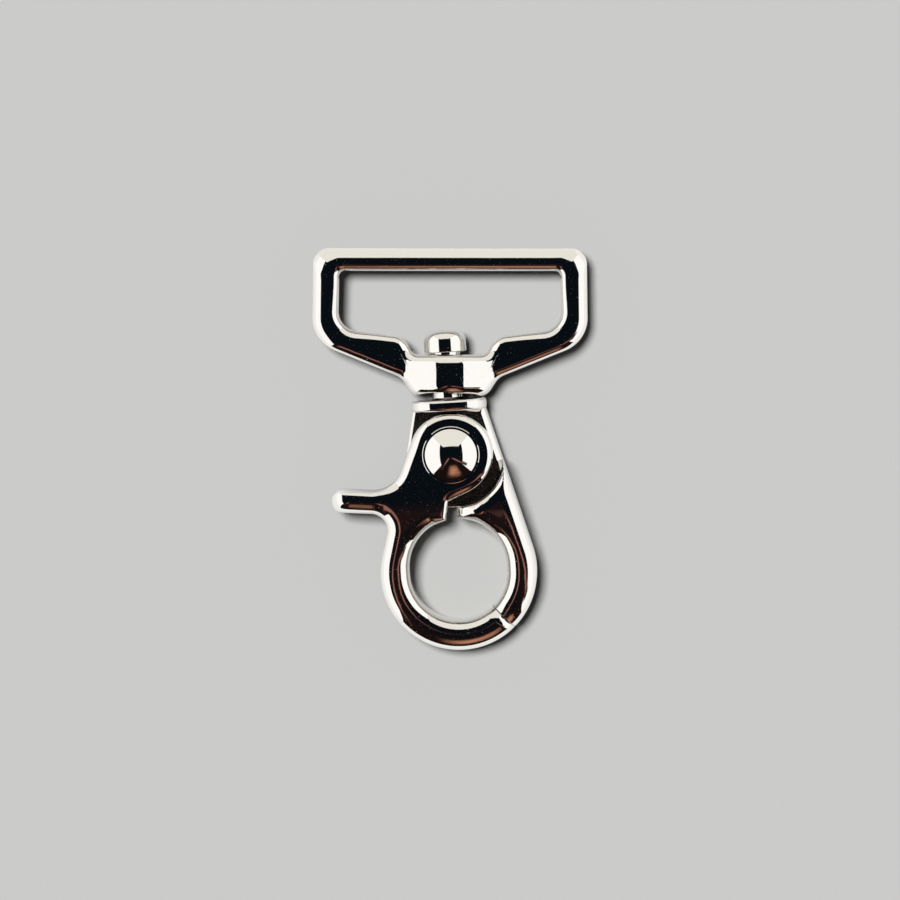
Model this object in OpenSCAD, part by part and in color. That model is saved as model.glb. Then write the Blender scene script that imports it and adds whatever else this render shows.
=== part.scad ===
// Scissor snap hook with a swivelling strap loop, in nickel-plated zinc castings.
// The clip lies on its back: X runs across it, Y along the swivel stem towards the strap loop,
// and Z up out of the front face. The origin is on the rivet's axis, in the plane of the back.

/* [Castings] */
// Thickness of the hook and of the loop's barrel, back to front
hook_t = 6.6; // [6:0.1:8]
// Radius rolled along the edges of the hook and the lever
edge_r = 1.15; // [0.7:0.05:1.3]
// Angle at which the front falls away towards the ring
front_fall = 5; // [0:0.5:7]
// Where that fall starts, below the lap plate's round end
fall_start = 0.35; // [0.2:0.05:1.2]

/* [Ring and eye] */
// Radius of the eye that the closed jaws form
eye_r = 5.72; // [5:0.02:6.6]
// Rise of the eye's upper arc above the middle of the ring
eye_up = 0.67; // [0.2:0.01:1]
// Drop of the eye's lower arc below the middle of the ring
eye_down = 0.2; // [0.1:0.01:0.6]
// Width of the ring's bar beside the eye
ring_bar_w = 3.48; // [3:0.02:4.4]
// Metal left between the lap plate and the eye
beak_w = 1.23; // [0.9:0.01:2]
// Angle below level, seen from the ring's middle, where the jaw tips meet
split_angle = 47.5; // [35:0.5:60]

/* [Lap plate and collar] */
// Radius of the lever's hub
hub_r = 4.9; // [4.5:0.05:5.4]
// How far the lap plate's round end stands out past the hub
plate_end = 1.45; // [1.3:0.05:2]
// How far the lap plate shows beside the hub on the thumb side
plate_lip = 0.55; // [0.3:0.05:1.2]
// Width of the collar under the swivel
collar_w = 8.9; // [8:0.1:10]
// Height of the collar along the stem
collar_h = 1.32; // [1:0.02:2]
// Radius of the collar's crowned front and back
collar_crown_r = 8.8; // [7:0.1:12]
// Edge radius of the collar
collar_edge_r = 0.4; // [0.2:0.05:0.5]
// Gap between the hub and the step where the fixed jaw starts
step_gap = 1.2; // [0.8:0.05:1.25]
// Radius rolled on the step
step_edge_r = 1.15; // [0.3:0.05:1.3]
// Sideways place of the fixed jaw's edge in the notch over the eye
jaw_notch_x = 0.15; // [0.05:0.05:0.5]

/* [Swivel] */
// Diameter of the swivel stem
stem_d = 3.46; // [3:0.02:4]
// How far the stem's upset head stands out past the barrel's bore
head_lip = 0.54; // [0.4:0.02:1]
// Height of the stem's upset head
head_h = 2.5; // [1.6:0.1:3.5]
// Radius on the rim of the stem's head
head_edge_r = 1.15; // [0.3:0.05:1.4]
// Angle at which the loop leans on the loose stem at rest
loop_lean = 3.5; // [0:0.1:5]

/* [Strap loop] */
// Inside width of the loop, for a 25 mm strap
strap_w = 26.2; // [24:0.1:30]
// Inside height of the loop beside the barrel's arms
slot_h = 6.83; // [5:0.05:10]
// Width of the two side bars
side_bar_w = 3.1; // [2.8:0.05:4]
// Width of the strap bar at the top
top_bar_w = 2.65; // [2.5:0.05:4]
// Thickness of the bars and arms, back to front
bar_t = 3.4; // [3:0.1:5]
// How far each side leans in towards the top
side_draft = 0.15; // [0.05:0.01:0.4]
// Length of the barrel along the stem
barrel_l = 4.94; // [4.2:0.02:6]
// Width of the barrel
barrel_w = 8.7; // [8:0.1:10]
// Radius of the barrel's crest, front and back
barrel_crest_r = 5.5; // [4.5:0.1:7]
// Slope of the barrel's flanks
barrel_slope = 20.5; // [20:0.5:28]
// Radius of the hollow between the barrel's flanks and the arms
barrel_root_r = 0.9; // [0.5:0.1:2]
// Radius of the cone seat in the barrel's lower end, which turns on the collar
seat_r = 4.2; // [3.6:0.05:4.6]
// Depth of the cone seat at the bore
seat_d = 1; // [0.6:0.05:1.4]
// How far the cast loop stands to the right of its bore
loop_shift = 0.35; // [0:0.05:0.6]
// Rise of the arms' inner knees above the barrel's top
knee_in_rise = 2; // [1.4:0.05:2.6]
// How far the arms' inner knees stand outside the barrel
knee_in_out = 1.05; // [0.8:0.05:1.4]
// Rise of the arms' inner edges from the knees to the corners
slot_floor_rise = 0.94; // [0.4:0.02:1.6]
// Rise of the arms' outer knees above the barrel's bottom
knee_out_rise = 2.23; // [1.8:0.05:2.6]
// How far the arms' outer knees stand outside the barrel
knee_out_out = 1.41; // [1.1:0.05:1.8]
// Rise of the arms' outer edges from the knees to the corners
arm_rise = 4.24; // [3.4:0.05:5]
// Radius in the throat between the barrel's top and the arms
throat_r = 1; // [0.6:0.05:1.3]
// Radius of the arms' inner knees
knee_in_r = 2.2; // [1.6:0.05:2.4]
// Radius of the slot's lower corners
slot_low_r = 2.35; // [1.5:0.05:3]
// Radius of the slot's top corners
slot_top_r = 0.6; // [0.3:0.05:1.2]
// Radius of the barrel's lower corners
barrel_corner_r = 1.8; // [1.6:0.05:2.1]
// Radius of the arms' outer knees
knee_out_r = 2.2; // [1.4:0.05:2.6]
// Radius of the loop's lower corners
loop_low_r = 4.1; // [3:0.05:5]
// Radius of the loop's top corners
loop_top_r = 1.9; // [1.6:0.05:2.5]
// Radius rolled along the loop's outer edges
loop_out_edge_r = 1.4; // [1:0.05:1.45]
// Radius rolled along the slot's edges
loop_in_edge_r = 0.85; // [0.5:0.05:1.05]

/* [Thumb lever] */
// Distance from the rivet out to the end of the thumb tab
tab_reach = 14.33; // [12.5:0.05:17]
// Drop of the tab's end below the rivet
tab_drop = 4.66; // [4:0.05:5.4]
// Width of the tab
tab_w = 2.6; // [2.4:0.05:3.4]
// Upward tilt of the tab
tab_tilt = 6; // [2:0.5:10]
// Flare of the lever's neck, away from the stem's line
neck_flare = 23; // [18:0.5:28]
// Fillet over the tab
tab_root_r = 3.7; // [2.6:0.05:4.2]
// Fillet under the tab
tab_under_r = 1.9; // [1.3:0.05:2.3]
// Sideways place of the lever's heel, where its hub meets the notch
heel_x = 0.65; // [0.4:0.05:0.9]
// How far the heel stands out past the hub
heel_out = 0.58; // [0.4:0.01:0.9]
// Sideways place of the lever's corner at the top of the eye
lever_notch_x = 1.05; // [0.9:0.05:1.6]

/* [Rivet and spring] */
// Diameter of the rivet's shank
shank_d = 3; // [2.4:0.05:3.2]
// Diameter of the rivet's domed head
rivet_head_d = 6.06; // [5.4:0.02:7]
// Radius of the rivet's dome
dome_r = 4.6; // [4:0.05:6]
// Height of the rim under the dome
rim_h = 0.3; // [0.1:0.05:0.6]
// Depth of the spot face in the hub under the rivet's head
spot_depth = 0.3; // [0.1:0.05:0.5]
// Room round the rivet's head in the spot face
spot_room = 0.3; // [0.1:0.05:0.6]
// How far the rivet's countersunk tail stands out past the shank
tail_lip = 0.6; // [0.3:0.05:0.9]
// Height of the rivet's countersunk tail
tail_h = 0.6; // [0.3:0.05:0.9]
// Diameter of the spring's wire
wire_d = 0.5; // [0.3:0.05:0.6]
// Room between the rivet's shank and the spring, and between the spring and its pocket
spring_room = 0.3; // [0.2:0.05:0.4]
// Turns of the spring
spring_turns = 3.25; // [2.25:0.25:4.25]
// Rise of the spring in one turn
spring_pitch = 0.6; // [0.55:0.01:0.7]
// Length of the spring's end legs
leg_l = 1.1; // [0.9:0.05:1.3]

/* [Clearances] */
// Gap between the lap plate and the lever's hub
lap_gap = 0.15; // [0.1:0.01:0.3]
// Gap round the lap plate's end and over the hub
swing_gap = 0.2; // [0.15:0.01:0.4]
// Gap between the jaw tips
tip_gap = 0.15; // [0.1:0.01:0.3]
// Running clearance of the swivel, beyond what the loop's lean takes up
swivel_gap = 0.1; // [0.05:0.01:0.3]
// Radial running clearance of the lever on the rivet, and under the rivet's head
pivot_gap = 0.06; // [0.03:0.01:0.1]
// Radial clearance of the rivet in the lap plate
seat_gap = 0.02; // [0.01:0.01:0.05]

/* [Hidden] */
$fn = 96;
nickel = [0.78, 0.77, 0.75];
steel = [0.62, 0.61, 0.6];

// Share of a point's distance from the origin under which two points count as one
same_share = 1e-6;

// Steps of the round stretches
edge_steps = 4;
arc_steps = 8;
bend_steps = 4;
hub_steps = 24;
ring_steps = 18;
barrel_steps = 7;
coil_steps = 18;
wire_sides = 8;

// A cut's overrun past the faces that it opens
overrun = 1;

// Largest share of a bar that the rolled edge may take up on each side
edge_limit_share = 0.44;
rolled_r = min(edge_r, edge_limit_share * min(tab_w, top_bar_w, ring_bar_w));
// Share of the tab's half width that rounds its end
tab_end_share = 0.96;
tab_end_r = tab_end_share * tab_w / 2;

// Levels of the lap joint
mid_z = hook_t / 2;
plate_t = (hook_t - lap_gap) / 2;
hub_z = plate_t + lap_gap;

// Radii about the rivet
plate_r = hub_r + plate_end;
step_r = hub_r + step_gap;
lever_lap_r = plate_r + swing_gap;
// Line across the hook where its front starts to fall towards the ring
fall_y = -(plate_r + fall_start);

// Ring and eye
ring_r = eye_r + ring_bar_w;
ring_c = [0, -(plate_r + beak_w + eye_r + eye_up)];
eye_top_c = ring_c + [0, eye_up];
eye_low_c = ring_c - [0, eye_down];
tip_half_angle = asin(tip_gap / 2 / ring_r);
lever_tip_a = -split_angle - tip_half_angle;
jaw_tip_a = -split_angle + tip_half_angle;

// Collar and swivel along the stem
collar_y = hub_r + swing_gap;
collar_top = collar_y + collar_h;
// How far the lap plate reaches up into the collar, and stays inside its sides
tuck = 0.35;
tuck_in = 0.1;
stem_r = stem_d / 2;
lean_drop = sin(loop_lean) * barrel_w / 2;
bore_r = stem_r / cos(loop_lean) + tan(loop_lean) * barrel_l / 2 + swivel_gap / 2;
head_r = bore_r + head_lip;
barrel_y = collar_top + lean_drop + swivel_gap + barrel_l / 2;
head_y = barrel_y + barrel_l / 2 + tan(loop_lean) * head_r + swivel_gap;

// Rivet and spring
shank_r = shank_d / 2;
rivet_head_r = rivet_head_d / 2;
rivet_head_z = hook_t - spot_depth + pivot_gap;
spring_r = shank_r + spring_room + wire_d / 2;
pocket_r = spring_r + wire_d / 2 + spring_room;
coil_h = spring_turns * spring_pitch;
pocket_h = coil_h + wire_d + spring_room;
leg_z = coil_h / 2 + leg_l;
leg_hole_r = wire_d / 2 + spring_room / 2;
leg_hole_z = leg_z + spring_room;

// Plane geometry of outlines
function unit(v) = v / norm(v);
function left_of(v) = [-v[1], v[0]];
function heading(v) = atan2(v[1], v[0]);
function mirrored(v) = [-v[0], v[1]];
function polar(c, r, a) = c + r * [cos(a), sin(a)];
function arc(c, r, from, to, n) = [for (i = [0:n]) polar(c, r, from + (to - from) * i / n)];
function turn(a, b) = let (d = heading(b) - heading(a)) d - 360 * round(d / 360);
function meet(p, u, q, v) = p + u * ((q - p) * left_of(v)) / (u * left_of(v));

// Point where a ray from o, at angle a, leaves the circle of radius r about c
function ray_out(o, a, c, r) =
    let (d = [cos(a), sin(a)], m = (c - o) * d)
    o + d * (m + sqrt(m * m - (c - o) * (c - o) + r * r));

// Round corner of radius r at q, on the way from p to s
function corner(p, q, s, r, n) =
    let (a = unit(q - p), t = turn(a, s - q), side = sign(t))
    let (c = q - a * r * tan(abs(t) / 2) + side * r * left_of(a))
    arc(c, r, heading(a) - side * 90, heading(a) - side * 90 + t, n);

// Closed outline moved inwards by d, with mitred corners
function inset(pts, d) =
    let (n = len(pts))
    [for (i = [0:n - 1])
        let (a = left_of(unit(pts[i] - pts[(i + n - 1) % n])))
        let (b = left_of(unit(pts[(i + 1) % n] - pts[i])))
        pts[i] + (a + b) * d / (1 + a * b)];

// Oval of four arcs with half axes a and b and crown radius r
function oval(a, b, r, n) =
    let (s = (2 * r * b - b * b - a * a) / (2 * (r - a)))
    let (w = atan2(a - s, r - b))
    concat(
        arc([a - s, 0], s, w - 90, 90 - w, n),
        arc([0, b - r], r, 90 - w, 90 + w, n),
        arc([s - a, 0], s, 90 + w, 270 - w, n),
        arc([0, r - b], r, 270 - w, 270 + w, n));

// Outline with repeated points left out
function distinct(pts) =
    [for (i = [0:len(pts) - 1])
        if (norm(pts[i] - pts[(i + 1) % len(pts)]) > norm(pts[i]) * same_share) pts[i]];

// Triangles that fill a closed outline, by cutting off one ear at a time
function area2(a, b, c) = (b - a) * -left_of(c - a);
function covers(a, b, c, p) = area2(a, b, p) >= 0 && area2(b, c, p) >= 0 && area2(c, a, p) >= 0;
function near(idx, k, step) = idx[(k + step + len(idx)) % len(idx)];
function is_ear(pts, idx, k) =
    let (a = pts[near(idx, k, -1)], b = pts[idx[k]], c = pts[near(idx, k, 1)])
    area2(a, b, c) > 0
    && len([for (i = idx) if (i != idx[k] && i != near(idx, k, -1) && i != near(idx, k, 1)
        && covers(a, b, c, pts[i])) i]) == 0;
function first_ear(pts, idx, k) =
    k >= len(idx) - 1 || is_ear(pts, idx, k) ? k : first_ear(pts, idx, k + 1);
function ears(pts, idx, done) =
    len(idx) == 3 ? concat(done, [idx])
    : let (k = first_ear(pts, idx, 0), ear = [near(idx, k, -1), idx[k], near(idx, k, 1)])
      ears(pts, [for (i = [0:len(idx) - 1]) if (i != k) idx[i]], concat(done, [ear]));

// Triangles of the wall between ring j and ring k, each of n points
function wall(j, k, n) =
    [for (i = [0:n - 1]) let (h = (i + 1) % n)
        each [[j * n + i, k * n + i, k * n + h], [j * n + i, k * n + h, j * n + h]]];

// Share of each side of an outline up to where it crosses the line at y, or 0
function crossings(pts, y) =
    [for (i = [0:len(pts) - 1])
        let (p = pts[i], q = pts[(i + 1) % len(pts)])
        (p[1] - y) * (q[1] - y) < 0 ? (y - p[1]) / (q[1] - p[1]) : 0];

// Outline with a point added at each of those shares
function split_sides(pts, shares) =
    [for (i = [0:len(pts) - 1])
        let (p = pts[i], q = pts[(i + 1) % len(pts)])
        each shares[i] > 0 ? [p, p + (q - p) * shares[i]] : [p]];

// Plate of thickness t on a closed outline, with edges rolled to radius r.
// Its front is level down to the line at y, and falls away below it.
module cast_plate(outline, t, r, y) {
    shares = crossings(inset(outline, r), y);
    face = split_sides(inset(outline, r), shares);
    n = len(face);
    roll = [for (k = [0:edge_steps]) 90 * k / edge_steps];
    back = [for (k = [edge_steps:-1:0]) [r * (1 - cos(roll[k])), r * (1 - sin(roll[k])), 0]];
    front = [for (k = [edge_steps:-1:0]) [back[k][0], t - back[k][1], tan(front_fall)]];
    levels = concat(back, front);
    points = [for (level = levels) each
        [for (p = split_sides(inset(outline, level[0]), shares))
            [p[0], p[1], level[1] - level[2] * max(0, y - p[1])]]];
    level_face = [for (i = [0:n - 1]) if (face[i][1] > y - t * same_share) i];
    fall_face = [for (i = [0:n - 1]) if (face[i][1] < y + t * same_share) i];
    cap = concat(ears(face, level_face, []), len(fall_face) > 2 ? ears(face, fall_face, []) : []);
    top = (len(levels) - 1) * n;
    walls = [for (j = [0:len(levels) - 2]) each wall(j, j + 1, n)];
    roof = [for (f = cap) [top + f[2], top + f[1], top + f[0]]];
    polyhedron(points, concat(walls, cap, roof));
}

// Ring of metal between two paired outlines, with edges rolled to the radii out_r and in_r.
// The half thickness follows the loop's own rise from the arms to the barrel.
module cast_loop(outer, inner, out_r, in_r) {
    n = len(outer);
    roll = [for (k = [0:edge_steps]) 90 * k / edge_steps];
    up = [for (a = roll) [1, out_r * (1 - cos(a)), out_r * (1 - sin(a)), 1]];
    down = [for (a = roll) [0, -in_r * (1 - cos(a)), in_r * (1 - sin(a)), -1]];
    across = [for (k = [edge_steps:-1:0]) [0, down[k][1], down[k][2], 1]];
    home = [for (k = [edge_steps:-1:0]) [1, up[k][1], up[k][2], -1]];
    levels = concat(up, across, down, home);
    points = [for (level = levels) each
        [for (p = inset(level[0] == 1 ? outer : inner, level[1]))
            [p[0], p[1], level[3] * (loop_half_t(p) - level[2])]]];
    walls = [for (j = [0:len(levels) - 1]) each wall(j, (j + 1) % len(levels), n)];
    polyhedron(points, walls);
}

// Half thickness of the strap loop at p: crest, flanks and hollows at the barrel, then the flat arms
barrel_rise = mid_z - bar_t / 2;
flank_drop = barrel_rise - (barrel_crest_r + barrel_root_r) * (1 - cos(barrel_slope));
crest_end_x = barrel_crest_r * sin(barrel_slope);
flank_end_x = crest_end_x + flank_drop / tan(barrel_slope);
arm_start_x = flank_end_x + barrel_root_r * sin(barrel_slope);
function loop_half_t(p) =
    let (x = abs(p[0]))
    p[1] > in_low_y || x > arm_start_x ? bar_t / 2
    : x > flank_end_x ? bar_t / 2 + barrel_root_r - sqrt(barrel_root_r ^ 2 - (arm_start_x - x) ^ 2)
    : mid_z - barrel_crest_r + sqrt(barrel_crest_r ^ 2 - min(x, crest_end_x) ^ 2)
        - max(0, x - crest_end_x) * tan(barrel_slope);

// Corners of the strap loop on its +X side, from the barrel's middle
loop_in_x = strap_w / 2;
loop_out_x = loop_in_x + side_bar_w;
in_low_y = barrel_l / 2 + knee_in_rise + slot_floor_rise;
out_low_y = knee_out_rise + arm_rise - barrel_l / 2;
slot_top_y = in_low_y + slot_h;
inner_corners = [
    [0, barrel_l / 2], [barrel_w / 2, barrel_l / 2],
    [barrel_w / 2 + knee_in_out, barrel_l / 2 + knee_in_rise],
    [loop_in_x, in_low_y], [loop_in_x - side_draft, slot_top_y], [0, slot_top_y]];
outer_corners = [
    [0, -barrel_l / 2], [barrel_w / 2, -barrel_l / 2],
    [barrel_w / 2 + knee_out_out, knee_out_rise - barrel_l / 2],
    [loop_out_x, out_low_y], [loop_out_x - side_draft, slot_top_y + top_bar_w],
    [0, slot_top_y + top_bar_w]];
// Radii of those corners: barrel, knee, lower corner, top corner
inner_radii = [throat_r, knee_in_r, slot_low_r, slot_top_r];
outer_radii = [barrel_corner_r, knee_out_r, loop_low_r, loop_top_r];

function loop_half(c, radii) = concat(
    [for (i = [0:barrel_steps - 1]) c[0] + (c[1] - c[0] - [radii[0], 0]) * i / barrel_steps],
    corner(c[0], c[1], c[2], radii[0], bend_steps),
    corner(c[1], c[2], c[3], radii[1], bend_steps),
    corner(c[2], c[3], c[4], radii[2], arc_steps),
    corner(c[3], c[4], c[5], radii[3], arc_steps),
    [c[5]]);
function loop_outline(half) =
    concat(half, [for (i = [len(half) - 2:-1:1]) mirrored(half[i])]);

// Rise of the cone seat's radius along the stem
seat_taper = (seat_r - bore_r) / seat_d;

module strap_loop() {
    color(nickel)
        translate([0, barrel_y, mid_z])
            rotate([0, 0, -loop_lean])
                difference() {
                    translate([loop_shift, 0, 0])
                        cast_loop(loop_outline(loop_half(outer_corners, outer_radii)),
                            loop_outline(loop_half(inner_corners, inner_radii)),
                            loop_out_edge_r, loop_in_edge_r);
                    rotate([90, 0, 0])
                        cylinder(r = bore_r, h = barrel_l + 2 * overrun, center = true);
                    translate([0, -barrel_l / 2 - overrun, 0])
                        rotate([-90, 0, 0])
                            cylinder(r1 = seat_r + overrun * seat_taper, r2 = stem_r,
                                h = overrun + (seat_r - stem_r) / seat_taper);
                }
}

// Outline of the hook: two straight flanks from the collar, tangent to the ring
flank_top = [collar_w / 2 - tuck_in, collar_y];
flank_a = heading(flank_top - ring_c) - acos(ring_r / norm(flank_top - ring_c));
flank_foot = polar(ring_c, ring_r, flank_a);
flank_up = unit(flank_top - flank_foot);
plate_side = [-hub_r - plate_lip, 0];
plate_up = unit(mirrored(flank_top) - plate_side);
plate_side_end = ray_out(plate_side, heading(-plate_up), [0, 0], plate_r);

// Angle on the eye's lower arc that lies at the angle a seen from the ring's middle
function eye_angle(a) = heading(ray_out(ring_c, a, eye_low_c, eye_r) - eye_low_c);

body_outline = concat(
    [flank_top + flank_up * tuck, mirrored(flank_top) + plate_up * tuck],
    arc([0, 0], plate_r, heading(plate_side_end) + 360, 270 + asin(jaw_notch_x / plate_r), arc_steps),
    arc(eye_top_c, eye_r, 90 - asin(jaw_notch_x / eye_r), 0, arc_steps),
    arc(eye_low_c, eye_r, 0, eye_angle(jaw_tip_a), arc_steps),
    arc(ring_c, ring_r, jaw_tip_a, flank_a, arc_steps));

// Angle at which the step's roll stops, just short of the face that it rolls up to
step_roll_end = 98;

// Room that the lever's hub and neck turn in, over the lap plate
module lap_pocket() {
    wide = collar_w + ring_r;
    step_h = hook_t - plate_t;
    roll = arc([step_r + step_edge_r, step_h - step_edge_r], step_edge_r, 180, step_roll_end, arc_steps);
    translate([0, 0, plate_t]) {
        rotate_extrude()
            polygon(concat([[0, 0], [step_r, 0]], roll,
                [[step_r + step_edge_r, step_h + overrun], [0, step_h + overrun]]));
        translate([-wide / 2, 0, 0])
            cube([wide, wide, hook_t]);
        intersection() {
            cylinder(r = lever_lap_r, h = hook_t);
            translate([-wide, -wide, 0])
                cube([wide + jaw_notch_x + lap_gap, wide + overrun, hook_t]);
        }
    }
}

// Stem and its upset head, turned about the stem's axis
module swivel_stem() {
    head_top = head_y + head_h;
    translate([0, 0, mid_z])
        rotate([-90, 0, 0])
            rotate_extrude()
                polygon(concat(
                    [[0, collar_y + tuck], [stem_r, collar_y + tuck], [stem_r, head_y], [head_r, head_y]],
                    arc([head_r - head_edge_r, head_top - head_edge_r], head_edge_r, 0, 90, arc_steps),
                    [[0, head_top]]));
}

// Oval collar that the swivel bears on
module collar() {
    outline = distinct(oval(collar_w / 2, hook_t / 2, collar_crown_r, arc_steps));
    translate([0, collar_top, mid_z])
        rotate([90, 0, 0])
            cast_plate(outline, collar_h, collar_edge_r, -collar_w);
}

// Hole for one leg of the spring, at the angle a about the rivet
module leg_hole(a, from, to) {
    rotate([0, 0, a])
        translate([spring_r, 0, from])
            cylinder(r = leg_hole_r, h = to - from);
}

module hook_body() {
    color(nickel) {
        difference() {
            cast_plate(body_outline, hook_t, rolled_r, fall_y);
            lap_pocket();
            translate([0, 0, plate_t - (pocket_h - lap_gap) / 2])
                cylinder(r = pocket_r, h = hook_t);
            translate([0, 0, -overrun])
                cylinder(r = shank_r + seat_gap, h = hook_t);
            translate([0, 0, -overrun])
                cylinder(r1 = shank_r + tail_lip + seat_gap + overrun * tail_lip / tail_h,
                    r2 = shank_r + seat_gap, h = tail_h + overrun);
            leg_hole(0, mid_z - leg_hole_z, mid_z);
        }
        collar();
        swivel_stem();
    }
}

// Outline of the lever: hub, neck, thumb tab and moving jaw
heel = -[heel_x, sqrt((hub_r + heel_out) ^ 2 - heel_x ^ 2)];
neck_top = polar([0, 0], hub_r, 180 - neck_flare);
tab_out = [-cos(tab_tilt), sin(tab_tilt)];
tab_end = [-tab_reach, -tab_drop];
tab_upper = tab_end - left_of(tab_out) * tab_w / 2;
tab_lower = tab_end + left_of(tab_out) * tab_w / 2;
tab_root = meet(neck_top, left_of(neck_top), tab_upper, tab_out);
tab_under = meet(tab_lower, tab_out, mirrored(flank_foot), mirrored(flank_up));

lever_outline = concat(
    arc([0, 0], hub_r, heading(heel) + acos(hub_r / norm(heel)), 180 - neck_flare, hub_steps),
    corner(neck_top, tab_root, tab_upper, tab_root_r, arc_steps),
    corner(tab_root, tab_upper, tab_lower, tab_end_r, bend_steps),
    corner(tab_upper, tab_lower, tab_under, tab_end_r, bend_steps),
    corner(tab_lower, tab_under, mirrored(flank_foot), tab_under_r, arc_steps),
    arc(ring_c, ring_r, 180 - flank_a, 360 + lever_tip_a, ring_steps),
    arc(eye_low_c, eye_r, eye_angle(lever_tip_a), -180, ring_steps),
    arc(eye_top_c, eye_r, 180, 90 + asin(lever_notch_x / eye_r), arc_steps),
    [heel]);

module thumb_lever() {
    color(nickel)
        difference() {
            cast_plate(lever_outline, hook_t, rolled_r, fall_y);
            translate([0, 0, -overrun])
                cylinder(r = lever_lap_r, h = hub_z + overrun);
            translate([0, 0, -overrun])
                cylinder(r = shank_r + pivot_gap, h = hook_t + 2 * overrun);
            translate([0, 0, hook_t - spot_depth])
                cylinder(r = rivet_head_r + spot_room, h = overrun);
            cylinder(r = pocket_r, h = hub_z + (pocket_h - lap_gap) / 2);
            leg_hole(360 * spring_turns, mid_z, mid_z + leg_hole_z);
        }
}

module pivot_rivet() {
    tail_z = seat_gap;
    dome_z = rivet_head_z + rim_h - sqrt(dome_r ^ 2 - rivet_head_r ^ 2);
    color(nickel)
        rotate_extrude()
            polygon(concat(
                [[0, tail_z], [shank_r + tail_lip, tail_z], [shank_r, tail_z + tail_h],
                    [shank_r, rivet_head_z], [rivet_head_r, rivet_head_z]],
                arc([0, dome_z], dome_r, acos(rivet_head_r / dome_r), 90, arc_steps)));
}

// The spring's wire, laid out flat round its coil: leg, coil, leg
coil_l = PI * 2 * spring_r * spring_turns;
wire_knots = [[0, -leg_z], [0, -coil_h / 2], [coil_l, coil_h / 2], [coil_l, leg_z]];
wire_bend_r = wire_d;
low_bend = corner(wire_knots[0], wire_knots[1], wire_knots[2], wire_bend_r, bend_steps);
top_bend = corner(wire_knots[1], wire_knots[2], wire_knots[3], wire_bend_r, bend_steps);
coil_count = round(spring_turns * coil_steps);
wire_path = concat(
    [wire_knots[0]], low_bend,
    [for (i = [1:coil_count - 1])
        low_bend[bend_steps] + (top_bend[0] - low_bend[bend_steps]) * i / coil_count],
    top_bend, [wire_knots[3]]);

// Ring of wire_sides points round the wire at place i of its path
function coil_angle(p) = p[0] / (PI * spring_r) * 180;
function wire_ring(i) =
    let (p = wire_path[i], a = coil_angle(p), out = [cos(a), sin(a), 0])
    let (v = unit(wire_path[min(i + 1, len(wire_path) - 1)] - wire_path[max(i - 1, 0)]))
    let (side = [-sin(a) * v[1], cos(a) * v[1], -v[0]])
    [for (k = [0:wire_sides - 1]) let (w = 360 * k / wire_sides)
        [spring_r * cos(a), spring_r * sin(a), p[1]] + wire_d / 2 * (cos(w) * out + sin(w) * side)];

module torsion_spring() {
    count = len(wire_path);
    points = [for (i = [0:count - 1]) each wire_ring(i)];
    walls = [for (j = [0:count - 2]) each wall(j, j + 1, wire_sides)];
    start = [for (k = [0:wire_sides - 1]) k];
    finish = [for (k = [wire_sides - 1:-1:0]) (count - 1) * wire_sides + k];
    color(steel)
        translate([0, 0, mid_z])
            polyhedron(points, concat(walls, [start, finish]));
}

hook_body();
thumb_lever();
pivot_rivet();
torsion_spring();
strap_loop();
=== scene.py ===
"""Looks of a scissor snap hook with a swivelling strap loop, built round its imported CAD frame."""

import logging
import math
from dataclasses import dataclass, field
from enum import Enum
from typing import Callable

import bmesh
import bpy
import numpy as np
from mathutils import Matrix, Vector
from mathutils.geometry import delaunay_2d_cdt, tessellate_polygon


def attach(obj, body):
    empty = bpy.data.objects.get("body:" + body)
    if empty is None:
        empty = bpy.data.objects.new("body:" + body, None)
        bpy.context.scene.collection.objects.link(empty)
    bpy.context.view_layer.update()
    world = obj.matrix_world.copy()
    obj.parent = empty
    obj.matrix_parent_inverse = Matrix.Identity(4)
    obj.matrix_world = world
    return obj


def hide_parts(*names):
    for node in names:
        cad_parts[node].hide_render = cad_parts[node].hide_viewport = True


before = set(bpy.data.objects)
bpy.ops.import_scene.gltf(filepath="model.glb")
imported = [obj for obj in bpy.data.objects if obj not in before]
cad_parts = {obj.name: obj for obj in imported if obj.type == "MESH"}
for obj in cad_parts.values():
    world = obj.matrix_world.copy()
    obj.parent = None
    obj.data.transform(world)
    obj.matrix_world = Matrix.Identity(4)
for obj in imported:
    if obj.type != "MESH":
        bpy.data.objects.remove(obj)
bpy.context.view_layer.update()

LOG = logging.getLogger("snap_hook")

# Sizes in this script are in millimetres, and the scene is in metres
MM = 0.001
# Longest steps along an arc and along a straight side, and step between the points that fill a face
STEP = 0.14
SIDE_STEP = 1.6 * STEP
FILL_STEP = 0.2
# Least gap between the points that fill a face and the rings of points along its edge
FILL_GAP = 0.45 * FILL_STEP
# Slack in the test of whether a ring's point still has its ring's depth
RING_SLACK = 1e-4
# Distance under which two points count as one
SAME = 1e-7
# How far a cutter reaches past the faces that it opens
OVERRUN = 1.0
# Points whose distances are worked out at a time
BATCH = 500
# Colour of the paper and of the backdrop
PALE = "#CCCCCA"


# Plane geometry of outlines, as in the part's source


def unit(v: np.ndarray) -> np.ndarray:
    """Scales a vector to length one.

    Args:
        v: The vector.

    Returns:
        The unit vector.
    """
    return v / np.linalg.norm(v)


def left_of(v: np.ndarray) -> np.ndarray:
    """Turns a plane vector a quarter turn to the left.

    Args:
        v: The vector.

    Returns:
        The turned vector.
    """
    return np.array([-v[1], v[0]])


def heading(v: np.ndarray) -> float:
    """Gives the direction of a plane vector.

    Args:
        v: The vector.

    Returns:
        Its angle from +X, in degrees.
    """
    return math.degrees(math.atan2(v[1], v[0]))


def mirrored(v: np.ndarray) -> np.ndarray:
    """Mirrors points in the Y axis.

    Args:
        v: One point, or one point a row.

    Returns:
        The mirrored points.
    """
    return np.asarray(v) * [-1.0, 1.0]


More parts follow.
